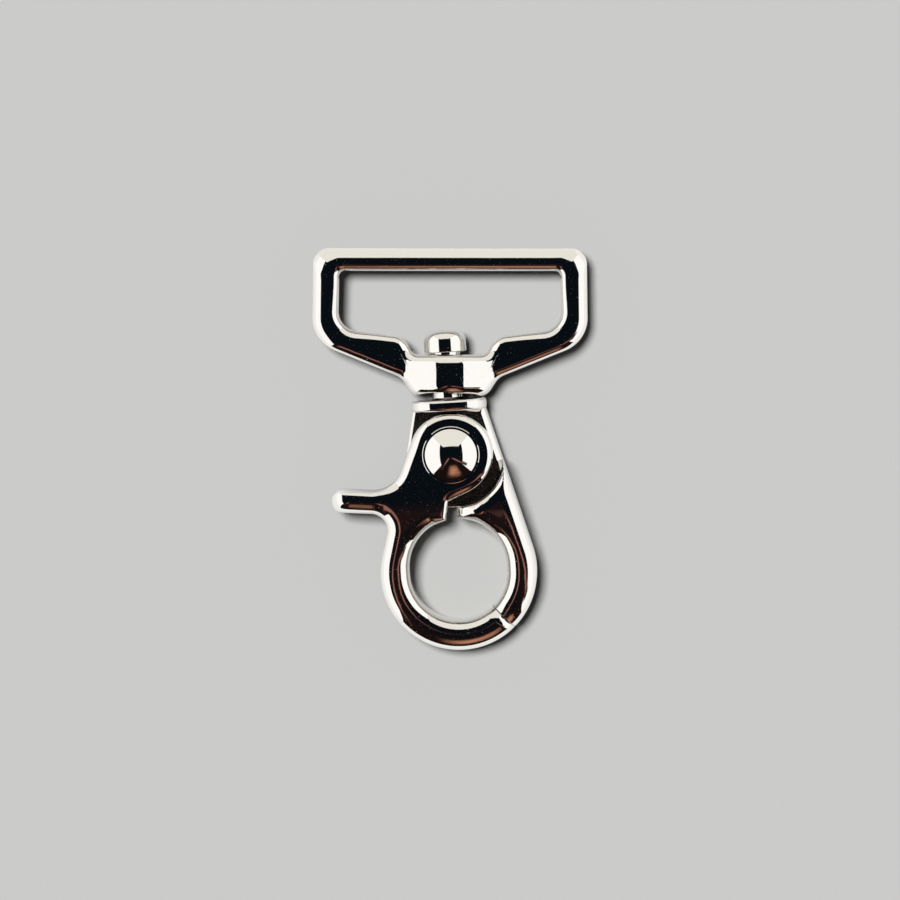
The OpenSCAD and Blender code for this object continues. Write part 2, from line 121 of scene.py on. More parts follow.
def polar(c: np.ndarray, r: float, a: float) -> np.ndarray:
    """Gives the point at a radius and an angle about a centre.

    Args:
        c: The centre.
        r: The radius.
        a: The angle in degrees.

    Returns:
        The point.
    """
    return np.asarray(c) + r * np.array([math.cos(math.radians(a)), math.sin(math.radians(a))])


def arc(c: np.ndarray, r: float, start: float, end: float, count: int = 0) -> np.ndarray:
    """Samples an arc.

    Args:
        c: The centre.
        r: The radius.
        start: The first angle in degrees.
        end: The last angle in degrees.
        count: The number of steps, or 0 for steps of about STEP.

    Returns:
        One point a row, both ends included.
    """
    steps = count or max(4, math.ceil(abs(math.radians(end - start)) * r / STEP))
    a = np.radians(np.linspace(start, end, steps + 1))
    return np.asarray(c) + r * np.stack([np.cos(a), np.sin(a)], axis=1)


def corner(p: np.ndarray, q: np.ndarray, s: np.ndarray, r: float, count: int = 0) -> np.ndarray:
    """Rounds the corner at q on the way from p to s.

    Args:
        p: The point before the corner.
        q: The corner.
        s: The point after the corner.
        r: The radius.
        count: The number of steps, or 0 for steps of about STEP.

    Returns:
        One point a row along the fillet.
    """
    a = unit(q - p)
    turn = (heading(s - q) - heading(a) + 180) % 360 - 180
    side = math.copysign(1.0, turn)
    c = q - a * r * math.tan(math.radians(abs(turn)) / 2) + side * r * left_of(a)
    return arc(c, r, heading(a) - side * 90, heading(a) - side * 90 + turn, count)


def meet(p: np.ndarray, u: np.ndarray, q: np.ndarray, v: np.ndarray) -> np.ndarray:
    """Finds where two lines cross.

    Args:
        p: A point on the first line.
        u: The first line's direction.
        q: A point on the second line.
        v: The second line's direction.

    Returns:
        The crossing.
    """
    return p + u * ((q - p) @ left_of(v)) / (u @ left_of(v))


def ray_out(o: np.ndarray, a: float, c: np.ndarray, r: float) -> np.ndarray:
    """Finds where a ray leaves a circle.

    Args:
        o: The ray's start.
        a: The ray's angle in degrees.
        c: The circle's centre.
        r: The circle's radius.

    Returns:
        The point on the circle.
    """
    d = polar([0, 0], 1, a)
    m = (c - o) @ d
    return o + d * (m + math.sqrt(m * m - (c - o) @ (c - o) + r * r))


def dense(points: np.ndarray) -> np.ndarray:
    """Splits the long sides of a closed outline and drops repeated points.

    Args:
        points: One point a row.

    Returns:
        The outline with no side longer than about SIDE_STEP.
    """
    out = []
    for p, q in zip(points, np.roll(points, -1, axis=0)):
        length = np.linalg.norm(q - p)
        if length < SAME:
            continue
        parts = max(1, math.ceil(length / SIDE_STEP))
        out.extend(p + (q - p) * i / parts for i in range(parts))
    return np.array(out)


def inset(points: np.ndarray, d: float) -> np.ndarray:
    """Moves a closed outline to its left, with mitred corners.

    Args:
        points: One point a row, counter-clockwise.
        d: How far the outline moves inwards.

    Returns:
        The moved outline.
    """
    back = points - np.roll(points, 1, axis=0)
    back /= np.linalg.norm(back, axis=1, keepdims=True)
    ahead = np.roll(back, -1, axis=0)
    a = np.stack([-back[:, 1], back[:, 0]], axis=1)
    b = np.stack([-ahead[:, 1], ahead[:, 0]], axis=1)
    return points + (a + b) * d / (1 + np.sum(a * b, axis=1, keepdims=True))


def depth_inside(points: np.ndarray, outline: np.ndarray) -> np.ndarray:
    """Measures how far points lie from an outline.

    Args:
        points: One point a row.
        outline: The closed outline, one point a row.

    Returns:
        The distance of each point from the nearest side.
    """
    side = np.roll(outline, -1, axis=0) - outline
    length2 = np.sum(side * side, axis=1)
    out = np.empty(len(points))
    for i in range(0, len(points), BATCH):
        rel = points[i:i + BATCH, None, :] - outline[None, :, :]
        share = np.clip(np.sum(rel * side, axis=2) / length2, 0, 1)
        gap = rel - share[:, :, None] * side
        out[i:i + BATCH] = np.sqrt(np.min(np.sum(gap * gap, axis=2), axis=1))
    return out


def crossings_odd(points: np.ndarray, outline: np.ndarray) -> np.ndarray:
    """Tells which points lie inside a closed outline.

    Args:
        points: One point a row.
        outline: The closed outline, one point a row.

    Returns:
        True for each point inside.
    """
    x, y = points[:, 0][:, None], points[:, 1][:, None]
    x0, y0 = outline[:, 0], outline[:, 1]
    x1, y1 = np.roll(x0, -1), np.roll(y0, -1)
    spans = (y0 > y) != (y1 > y)
    rise = np.where(y1 == y0, 1.0, y1 - y0)
    hits = spans & (x < x0 + (y - y0) * (x1 - x0) / rise)
    return np.sum(hits, axis=1) % 2 == 1


def ease(low: float, high: float, x: np.ndarray) -> np.ndarray:
    """Rises smoothly from 0 to 1.

    Args:
        low: Where the rise starts.
        high: Where it ends.
        x: The places.

    Returns:
        The level at each place.
    """
    s = np.clip((x - low) / (high - low), 0, 1)
    return s * s * (3 - 2 * s)


def roll_drop(r: float, left: np.ndarray) -> np.ndarray:
    """Gives how far a round falls away.

    Args:
        r: The round's radius.
        left: Distances past the line where the round starts.

    Returns:
        The drop at each distance.
    """
    return r - np.sqrt(r * r - left * left)


def box(low: tuple[float, float], high: tuple[float, float]) -> np.ndarray:
    """Draws an upright rectangle.

    Args:
        low: Its lower left corner.
        high: Its upper right corner.

    Returns:
        Its corners, one a row, counter-clockwise.
    """
    return np.array([low, [high[0], low[1]], high, [low[0], high[1]]])


# Meshes


def mesh_object(name: str, points: np.ndarray, faces: list) -> bpy.types.Object:
    """Makes a mesh object with its faces turned outwards.

    Args:
        name: The object's name.
        points: One point a row, in millimetres.
        faces: Lists of point numbers.

    Returns:
        The object, linked to the scene.
    """
    mesh = bpy.data.meshes.new(name)
    mesh.from_pydata((np.asarray(points) * MM).tolist(), [], faces)
    work = bmesh.new()
    work.from_mesh(mesh)
    bmesh.ops.recalc_face_normals(work, faces=work.faces)
    work.to_mesh(mesh)
    work.free()
    obj = bpy.data.objects.new(name, mesh)
    bpy.context.scene.collection.objects.link(obj)
    return obj


def ring_walls(start: int, end: int, count: int) -> list:
    """Lists the faces between two closed rings of points.

    Args:
        start: The first ring's first point number.
        end: The second ring's first point number.
        count: The points in each ring.

    Returns:
        Four-sided faces.
    """
    return [[start + i, start + (i + 1) % count, end + (i + 1) % count, end + i] for i in range(count)]


def turned(name: str, profile: np.ndarray, segments: int = 144, closed: bool = False) -> bpy.types.Object:
    """Turns a profile about Z.

    Args:
        name: The object's name.
        profile: Rows of radius and height; a first or last radius of 0 closes the end in a point.
        segments: The steps round the axis.
        closed: Whether the profile's last point joins its first, for a ring.

    Returns:
        The turned solid.
    """
    a = np.linspace(0, 2 * math.pi, segments, endpoint=False)
    points, faces, rings = [], [], []
    for r, z in profile:
        rings.append(len(points))
        turn = a[:1] if r < SAME else a
        points.extend([r * math.cos(t), r * math.sin(t), z] for t in turn)
    for k in range(len(profile) - 1 + closed):
        after = (k + 1) % len(profile)
        low, high = rings[k], rings[after]
        if profile[k][0] < SAME:
            faces.extend([low, high + i, high + (i + 1) % segments] for i in range(segments))
        elif profile[after][0] < SAME:
            faces.extend([low + i, low + (i + 1) % segments, high] for i in range(segments))
        else:
            faces.extend(ring_walls(low, high, segments))
    return mesh_object(name, np.array(points), faces)


def drum(name: str, r: float, low: float, high: float) -> bpy.types.Object:
    """Makes a plain round cutter about Z.

    Args:
        name: The object's name.
        r: Its radius.
        low: Height of its lower face.
        high: Height of its upper face.

    Returns:
        The cutter.
    """
    return turned(name, np.array([[0, low], [r, low], [r, high], [0, high]]))


def prism(name: str, outline: np.ndarray, low: float, high: float) -> bpy.types.Object:
    """Makes an upright prism.

    Args:
        name: The object's name.
        outline: Its plan, one point a row.
        low: Height of its lower face.
        high: Height of its upper face.

    Returns:
        The prism.
    """
    n = len(outline)
    points = [[x, y, z] for z in (low, high) for x, y in outline]
    faces = [list(range(n))[::-1], list(range(n, 2 * n))] + ring_walls(0, n, n)
    return mesh_object(name, np.array(points), faces)


def moved(obj: bpy.types.Object, matrix: Matrix) -> bpy.types.Object:
    """Moves an object's points and leaves the object at the origin.

    Args:
        obj: The object.
        matrix: The move, with its shift in millimetres.

    Returns:
        The same object.
    """
    shift = matrix.copy()
    shift.translation = matrix.translation * MM
    obj.data.transform(shift)
    obj.data.update()
    return obj


def cut(obj: bpy.types.Object, *cutters: bpy.types.Object) -> bpy.types.Object:
    """Cuts solids out of an object and removes the cutters.

    Args:
        obj: The object to cut.
        cutters: The solids to take away.

    Returns:
        The same object.
    """
    for cutter in cutters:
        step = obj.modifiers.new("cut", "BOOLEAN")
        step.operation = "DIFFERENCE"
        step.solver = "EXACT"
        step.object = cutter
        plain = obj.evaluated_get(bpy.context.evaluated_depsgraph_get())
        mesh = bpy.data.meshes.new_from_object(plain)
        obj.modifiers.clear()
        obj.data = mesh
        bpy.data.objects.remove(cutter)
    return obj


def joined(obj: bpy.types.Object, *others: bpy.types.Object) -> bpy.types.Object:
    """Adds the meshes of other objects to one object.

    Args:
        obj: The object to add to.
        others: The objects that go into it.

    Returns:
        The same object.
    """
    work = bmesh.new()
    for piece in (obj, *others):
        work.from_mesh(piece.data)
    work.to_mesh(obj.data)
    work.free()
    for piece in others:
        bpy.data.objects.remove(piece)
    return obj


def smooth(obj: bpy.types.Object, crease: float = 34.0) -> bpy.types.Object:
    """Shades an object smooth, with its sharp edges kept.

    Args:
        obj: The object.
        crease: The angle, in degrees, from which an edge stays sharp.

    Returns:
        The same object.
    """
    obj.data.shade_smooth()
    obj.data.set_sharp_from_angle(angle=math.radians(crease))
    return obj


@dataclass(frozen=True)
class RolledEdge:
    """Section of a tumbled casting's edge: a tight roll, then a shallow crown up to the face.

    Attributes:
        roll_r: Radius of the roll.
        crown_r: Radius of the crown.
        crown_tilt: Slope in degrees where the roll meets the crown.
        steps: Steps round the roll.
    """

    roll_r: float
    crown_r: float = 1.0
    crown_tilt: float = 0.0
    steps: int = 12

    @property
    def roll_w(self) -> float:
        """Gives the roll's width.

        Returns:
            The width in millimetres.
        """
        return self.roll_r * (1 - math.sin(math.radians(self.crown_tilt)))

    def depths(self) -> list[float]:
        """Lists the depths, in from the outline, of the rings of points round the roll.

        Returns:
            The depths, from 0 up to the roll's width.
        """
        tilts = np.radians(np.linspace(90, self.crown_tilt, self.steps + 1))
        return (self.roll_r * (1 - np.sin(tilts))).tolist()

    def drop(self, depth: np.ndarray) -> np.ndarray:
        """Gives how far the section lies below the face.

        Args:
            depth: Depths in from the outline.

        Returns:
            The drop at each depth.
        """
        depth = np.asarray(depth, dtype=float)
        tilt = math.radians(self.crown_tilt)
        crown_w = self.crown_r * math.sin(tilt)
        left = np.clip(self.roll_w + crown_w - depth, 0, crown_w)
        crown = roll_drop(self.crown_r, left)
        sine = np.clip(1 - depth / self.roll_r, math.sin(tilt), 1)
        roll = self.roll_r * (math.cos(tilt) - np.sqrt(np.clip(1 - sine ** 2, 0, 1)))
        return crown + roll


@dataclass
class CastPlate:
    """Flat casting on a closed outline, with rolled edges front and back.

    Attributes:
        outline: The outline, counter-clockwise, one point a row.
        thickness: Thickness, from z = 0.
        front: Section of the front edge.
        back: Section of the back edge.
        fall: How far the front face falls away at each point.
        share: Size of the front edge's section at each point, as a share of its full size.
    """

    outline: np.ndarray
    thickness: float
    front: RolledEdge
    back: RolledEdge
    fall: Callable[[np.ndarray], np.ndarray] = field(default=lambda p: np.zeros(len(p)))
    share: Callable[[np.ndarray], np.ndarray] = field(default=lambda p: np.ones(len(p)))

    def build(self, name: str) -> bpy.types.Object:
        """Builds the plate as one closed mesh.

        Args:
            name: The object's name.

        Returns:
            The plate.
        """
        outline = dense(self.outline)
        spots, tris = self.filled(outline)
        depth = depth_inside(spots, outline)
        depth[:len(outline)] = 0
        share = self.share(spots)
        front = self.thickness - self.fall(spots) - share * self.front.drop(depth / share)
        points = np.concatenate([np.column_stack([spots, front]),
                                 np.column_stack([spots, self.back.drop(depth)])])
        under = [[len(spots) + i for i in tri[::-1]] for tri in tris]
        return mesh_object(name, points, tris + under + ring_walls(0, len(spots), len(outline)))

    def filled(self, outline: np.ndarray) -> tuple[np.ndarray, list]:
        """Fills the outline with rings of points along its edge, even points inside, and triangles.

        Args:
            outline: The outline, one point a row.

        Returns:
            The points, with the outline's first, and the triangles.
        """
        spots = [outline]
        depths = self.front.depths()
        for d in depths[1:]:
            ring = inset(outline, d)
            spots.append(ring[depth_inside(ring, outline) > d - RING_SLACK])
        low, high = outline.min(axis=0), outline.max(axis=0)
        rows = np.arange(low[1], high[1], FILL_STEP * math.sqrt(3) / 2)
        grid = np.array([[x + FILL_STEP / 2 * (j % 2), y] for j, y in enumerate(rows)
                         for x in np.arange(low[0], high[0], FILL_STEP)])
        grid = grid[crossings_odd(grid, outline)]
        spots.append(grid[depth_inside(grid, outline) > depths[-1] + FILL_GAP])
        spots = np.concatenate(spots)
        sides = [(i, (i + 1) % len(outline)) for i in range(len(outline))]
        out = delaunay_2d_cdt([Vector(p) for p in spots], sides, [], 1, SAME)
        first = [same[0] for same in out[3]]
        return spots, [[first[i] for i in tri] for tri in out[2]]


# Finishes

# What a node's input takes: a constant, or the socket that gives it
Level = float | bpy.types.NodeSocket


def linear(code: str) -> tuple[float, float, float, float]:
    """Turns an sRGB hex colour into linear light.

    Args:
        code: The colour, such as "#CCCCCA".

    Returns:
        Red, green, blue and alpha.
    """
    parts = [int(code[i:i + 2], 16) / 255 for i in (1, 3, 5)]
    light = [c / 12.92 if c <= 0.04045 else ((c + 0.055) / 1.055) ** 2.4 for c in parts]
    return light[0], light[1], light[2], 1.0


def add_node(
        tree: bpy.types.NodeTree, kind: str, inputs: dict | None = None, **settings) -> bpy.types.Node:
    """Adds a node with its settings, constants and links.

    Args:
        tree: The node tree.
        kind: The node's type.
        inputs: Socket name or number to a constant, or to the output socket linked to it.
        settings: The node's own settings.

    Returns:
        The node.
    """
    node = tree.nodes.new(kind)
    for name, value in settings.items():
        setattr(node, name, value)
    for key, value in (inputs or {}).items():
        if isinstance(value, bpy.types.NodeSocket):
            tree.links.new(value, node.inputs[key])
        else:
            node.inputs[key].default_value = value
    return node


def maths(tree: bpy.types.NodeTree, operation: str, *values: Level) -> bpy.types.NodeSocket:
    """Adds a sum of one or two values.

    Args:
        tree: The node tree.
        operation: The kind of sum.
        values: Constants, or sockets that give them.

    Returns:
        The socket of the result.
    """
    return add_node(tree, "ShaderNodeMath", dict(enumerate(values)), operation=operation).outputs[0]


def ramp(tree: bpy.types.NodeTree, value: bpy.types.NodeSocket, span: tuple[float, float],
         ends: tuple[float, float] = (0.0, 1.0), soft: bool = False) -> bpy.types.NodeSocket:
    """Maps a value from one span to another, and holds it at both ends.

    Args:
        tree: The node tree.
        value: The value.
        span: Values at which the ramp starts and ends.
        ends: What it gives there.
        soft: Whether it eases in and out.

    Returns:
        The socket of the result.
    """
    given = {"Value": value, "From Min": span[0], "From Max": span[1], "To Min": ends[0], "To Max": ends[1]}
    shape = "SMOOTHSTEP" if soft else "LINEAR"
    return add_node(tree, "ShaderNodeMapRange", given, interpolation_type=shape).outputs["Result"]


def blend(
        tree: bpy.types.NodeTree, share: bpy.types.NodeSocket, low: str, high: str) -> bpy.types.NodeSocket:
    """Mixes two colours.

    Args:
        tree: The node tree.
        share: Share of the second colour.
        low: The first colour.
        high: The second colour.

    Returns:
        The socket of the mixed colour.
    """
    given = {"Factor": share, "A": linear(low), "B": linear(high)}
    return add_node(tree, "ShaderNodeMix", given, data_type="RGBA").outputs["Result"]


def empty_material(name: str) -> tuple[bpy.types.Material, bpy.types.NodeTree]:
    """Makes a material with no nodes.

    Args:
        name: The material's name.

    Returns:
        The material and its node tree.
    """
    material = bpy.data.materials.new(name)
    material.use_nodes = True
    material.node_tree.nodes.clear()
    return material, material.node_tree


@dataclass(frozen=True)
class PlatedMetal:
    """Bright plated metal: mirror smooth, a little wavy from tumbling, with fine specks.

    Attributes:
        name: The real material.
        colour: Its colour in reflected light.
        roughness: Roughness of the clean plate.
        speck_roughness: Roughness of the specks.
        wave_mm: Height of the slow waves that tumbling leaves.
        wave_per_mm: Waves in a millimetre.
        speck_per_mm: Specks in a millimetre.
        speck_band: Levels of the noise between which a speck comes in.
    """

    name: str
    colour: str
    roughness: float
    speck_roughness: float
    wave_mm: float
    wave_per_mm: float
    speck_per_mm: float
    speck_band: tuple[float, float] = (0.64, 0.72)

    def material(self) -> bpy.types.Material:
        """Builds the material.

        Returns:
            The material.
        """
        material, tree = empty_material(self.name)
        place = add_node(tree, "ShaderNodeTexCoord").outputs["Object"]
        wave = add_node(tree, "ShaderNodeTexNoise", {
            "Vector": place, "Scale": self.wave_per_mm / MM, "Detail": 1.0, "Roughness": 0.4})
        bump = add_node(tree, "ShaderNodeBump", {
            "Height": wave.outputs["Fac"], "Strength": 1.0, "Distance": self.wave_mm * MM})
        speck = add_node(tree, "ShaderNodeTexNoise", {
            "Vector": place, "Scale": self.speck_per_mm / MM, "Detail": 2.0, "Roughness": 0.6})
        rough = ramp(tree, speck.outputs["Fac"], self.speck_band, (self.roughness, self.speck_roughness))
        metal = add_node(tree, "ShaderNodeBsdfPrincipled", {
            "Base Color": linear(self.colour), "Metallic": 1.0,
            "Roughness": rough, "Normal": bump.outputs["Normal"]})
        add_node(tree, "ShaderNodeOutputMaterial", {"Surface": metal.outputs["BSDF"]})
        return material


@dataclass(frozen=True)
class DrawnWire:
    """Drawn spring steel: grey, with a shine that its fine die lines blur.

    Attributes:
        name: The real material.
        colour: Its colour in reflected light.
        roughness: Roughness of the wire.
    """

    name: str = "drawn spring steel wire"
    colour: str = "#B9B6B2"
    roughness: float = 0.3

    def material(self) -> bpy.types.Material:
        """Builds the material.

        Returns:
            The material.
        """
        material, tree = empty_material(self.name)
        metal = add_node(tree, "ShaderNodeBsdfPrincipled", {
            "Base Color": linear(self.colour), "Metallic": 1.0, "Roughness": self.roughness})
        add_node(tree, "ShaderNodeOutputMaterial", {"Surface": metal.outputs["BSDF"]})
        return material


@dataclass(frozen=True)
class Panel:
    """Plain panel of the studio that gives off an even light, or next to none.

    Attributes:
        name: What the panel is.
        colour: Its colour.
        level: Its brightness, where 1 shows the colour as written.
    """

    name: str
    colour: str
    level: float

    def material(self) -> bpy.types.Material:
        """Builds the material.

        Returns:
            The material.
        """
        material, tree = empty_material(self.name)
        bounces = add_node(tree, "ShaderNodeLightPath").outputs["Diffuse Depth"]
        # The panel is mirrored by the metal, and gives no light to the paper
        mirrored_only = maths(tree, "LESS_THAN", bounces, 0.5)
        glow = add_node(tree, "ShaderNodeEmission", {
            "Color": self.colouring(tree), "Strength": maths(tree, "MULTIPLY", mirrored_only, self.level)})
        surface = self.covering(tree, glow.outputs["Emission"])
        add_node(tree, "ShaderNodeOutputMaterial", {"Surface": surface})
        return material

    def covering(self, tree: bpy.types.NodeTree, glow: bpy.types.NodeSocket) -> bpy.types.NodeSocket:
        """Gives the panel's surface.

        Args:
            tree: The material's node tree.
            glow: The glowing surface.

        Returns:
            The surface, here the glow all over.
        """
        return glow

    def colouring(self, tree: bpy.types.NodeTree) -> tuple | bpy.types.NodeSocket:
        """Gives the panel's colour.

        Args:
            tree: The material's node tree.

        Returns:
            The colour, or the socket that gives it.
        """
        return linear(self.colour)


@dataclass(frozen=True)
class ShadedTable(Panel):
    """White table that the clip shades softly along its foot.

    Attributes:
        shade: Colour where the clip hides all the light.
        reach: How far the shade reaches, in metres.
        rays: Rays that look for the clip at each point.
    """

    shade: str = "#2E2E2D"
    reach: float = 0.016
    rays: int = 16

    def colouring(self, tree: bpy.types.NodeTree) -> tuple | bpy.types.NodeSocket:
        """Gives the panel's colour.

        Args:
            tree: The material's node tree.

        Returns:
            The socket that gives the colour.
        """
        sky = add_node(tree, "ShaderNodeAmbientOcclusion", {"Distance": self.reach}, samples=self.rays)
        return blend(tree, sky.outputs["AO"], self.shade, self.colour)


@dataclass(frozen=True)
class WarmEnd(Panel):
    """Dark end of the studio with a soft, mottled copper glow.

    Attributes:
        glow: Colour at the middle of the glow.
        middle: Middle of the glow across the end, in metres.
        across: Half widths of the full glow and of all of it.
        rise: Heights between which the glow grows.
        fade: Heights between which it fades again.
        spot_per_m: Mottles in a metre.
        spot_band: Levels of the noise between which a mottle comes in.
        spot_least: Share of the glow left between the mottles.
    """

    glow: str = "#D09073"
    middle: float = 0.06
    across: tuple[float, float] = (0.06, 0.26)
    rise: tuple[float, float] = (0.13, 0.45)
    fade: tuple[float, float] = (0.5, 1.1)
    spot_per_m: float = 9.0
    spot_band: tuple[float, float] = (0.3, 0.65)
    spot_least: float = 0.6

    def colouring(self, tree: bpy.types.NodeTree) -> tuple | bpy.types.NodeSocket:
        """Gives the panel's colour.

        Args:
            tree: The material's node tree.

        Returns:
            The socket that gives the colour.
        """
        place = add_node(tree, "ShaderNodeTexCoord").outputs["Object"]
        axes = add_node(tree, "ShaderNodeSeparateXYZ", {0: place}).outputs
        away = maths(tree, "ABSOLUTE", maths(tree, "SUBTRACT", axes["X"], self.middle))
        spots = add_node(tree, "ShaderNodeTexNoise", {
            "Vector": place, "Scale": self.spot_per_m, "Detail": 3.0})
        share = ramp(tree, spots.outputs["Fac"], self.spot_band, (self.spot_least, 1.0))
        for value, span, ends in (
                (away, self.across, (1.0, 0.0)), (axes["Z"], self.rise, (0.0, 1.0)),
                (axes["Z"], self.fade, (1.0, 0.0))):
            share = maths(tree, "MULTIPLY", share, ramp(tree, value, span, ends, soft=True))
        return blend(tree, share, self.colour, self.glow)


@dataclass(frozen=True)
class StandArms(Panel):
    """Two arms of the camera's stand, brown, with a dim haze round them and clear elsewhere.

    Attributes:
        arms: Each arm's near and far end, in metres.
        core: Half widths of the arms' full colour and of all of it.
        haze_w: Half widths of the full haze and of all of it.
        haze: Colour of the haze.
        haze_start: Places along the stem between which the haze comes in.
        start: Places along the stem between which the arms come in.
        fade: Places along the stem between which they grow dim.
        dim: Share of the arms' colour left there.
    """

    arms: tuple = (((-0.06, -0.085), (-0.30, -0.42)), ((0.0, -0.075), (0.31, -0.27)))
    core: tuple[float, float] = (0.008, 0.024)
    haze_w: tuple[float, float] = (0.015, 0.09)
    haze: str = "#221514"
    haze_start: tuple[float, float] = (-0.05, -0.1)
    start: tuple[float, float] = (-0.08, -0.112)
    fade: tuple[float, float] = (-0.2, -0.35)
    dim: float = 0.15

    def near(self, tree: bpy.types.NodeTree, place: bpy.types.NodeSocket,
             width: tuple[float, float]) -> bpy.types.NodeSocket:
        """Gives how near a point is to an arm.

        Args:
            tree: The material's node tree.
            place: The point.
            width: Distances at which the result is 1 and 0.

        Returns:
            The socket of the result, the larger of the two arms'.
        """
        shares = []
        for start, end in self.arms:
            side = left_of(unit(np.array(end) - np.array(start)))
            dot = add_node(tree, "ShaderNodeVectorMath", {0: place, 1: (*side, 0)}, operation="DOT_PRODUCT")
            off = maths(tree, "SUBTRACT", dot.outputs["Value"], side @ np.array(start))
            shares.append(ramp(tree, maths(tree, "ABSOLUTE", off), width, (1.0, 0.0), soft=True))
        return maths(tree, "MAXIMUM", *shares)

    def colouring(self, tree: bpy.types.NodeTree) -> tuple | bpy.types.NodeSocket:
        """Gives the panel's colour.

        Args:
            tree: The material's node tree.

        Returns:
            The socket that gives the colour.
        """
        place = add_node(tree, "ShaderNodeTexCoord").outputs["Object"]
        y = add_node(tree, "ShaderNodeSeparateXYZ", {0: place}).outputs["Y"]
        share = self.near(tree, place, self.core)
        for span, ends in ((self.start, (0.0, 1.0)), (self.fade, (1.0, self.dim))):
            share = maths(tree, "MULTIPLY", share, ramp(tree, y, span, ends))
        return blend(tree, share, self.haze, self.colour)

    def covering(self, tree: bpy.types.NodeTree, glow: bpy.types.NodeSocket) -> bpy.types.NodeSocket:
        """Gives the panel's surface.

        Args:
            tree: The material's node tree.
            glow: The glowing surface.

        Returns:
            The surface: the glow at the arms and in the haze, and clear elsewhere.
        """
        place = add_node(tree, "ShaderNodeTexCoord").outputs["Object"]
        y = add_node(tree, "ShaderNodeSeparateXYZ", {0: place}).outputs["Y"]
        begun = ramp(tree, y, self.haze_start, soft=True)
        share = maths(tree, "MULTIPLY", begun, self.near(tree, place, self.haze_w))
        clear = add_node(tree, "ShaderNodeBsdfTransparent").outputs["BSDF"]
        return add_node(tree, "ShaderNodeMixShader", {0: share, 1: clear, 2: glow}).outputs["Shader"]


@dataclass(frozen=True)
class Paper:
    """Matt pale paper that the clip lies on.

    Attributes:
        name: The real material.
        colour: Its colour.
    """

    name: str = "matt grey paper"
    colour: str = PALE

    def material(self) -> bpy.types.Material:
        """Builds the material.

        Returns:
            The material.
        """
        material, tree = empty_material(self.name)
        matt = add_node(tree, "ShaderNodeBsdfDiffuse", {"Color": linear(self.colour)})
        add_node(tree, "ShaderNodeOutputMaterial", {"Surface": matt.outputs["BSDF"]})
        return material


CASTING_PLATE = PlatedMetal(
    "nickel plate on a tumbled zinc casting", "#EAE7E2", 0.035, 0.34, 0.012, 0.5, 5.0)
# The sunk face of the lap plate isn't reached by tumbling, so it keeps the grain of the mould
# Its dark colour is painted shade of the recess between the hub, the step and the collar
CASTING_SKIN_AND_PAINTED_SHADE = PlatedMetal(
    "nickel plate on raw zinc casting skin with painted shade", "#85817A", 0.25, 0.55, 0.04, 2.5, 5.0)
RIVET_PLATE = PlatedMetal("nickel plate on a steel rivet", "#EAE7E2", 0.03, 0.2, 0.004, 0.4, 5.0)
# Panels of the light tent, as the metal mirrors them
WHITE_SIDE = Panel("white side", "#FFFFFF", 1.2)
WHITE_TABLE = ShadedTable("white table", "#FFFFFF", 1.05)
CREAM_TABLE = Panel("cream table", "#FFFDF6", 0.97)
CREAM_END = Panel("cream end", "#FFFDF6", 0.96)
DARK_TOP = Panel("dark top", "#0A1016", 1.0)
WARM_END = WarmEnd("warm end", "#1B1210", 1.0)
CAMERA_STAND = StandArms("camera stand", "#9A6A5E", 1.0)


class Body(Enum):
    """Bodies of the CAD frame that the pieces ride on."""

    HOOK = "hook"
    LEVER = "lever"
    LOOP = "loop"


def dress(obj: bpy.types.Object, materials: list[bpy.types.Material],
          body: Body, node: str) -> None:
    """Gives a piece its materials and its place in the CAD frame.

    Args:
        obj: The piece.
        materials: Its materials, in the order of its faces' slots.
        body: The body that it rides on.
        node: The CAD node that it stands for.
    """
    while len(obj.data.materials) < len(materials):
        obj.data.materials.append(None)
    for i, material in enumerate(materials):
        obj.data.materials[i] = material
    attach(obj, body.value)
    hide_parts(node)
    LOG.info("%s: %d faces on body %s", obj.name, len(obj.data.polygons), body.value)


# Pieces


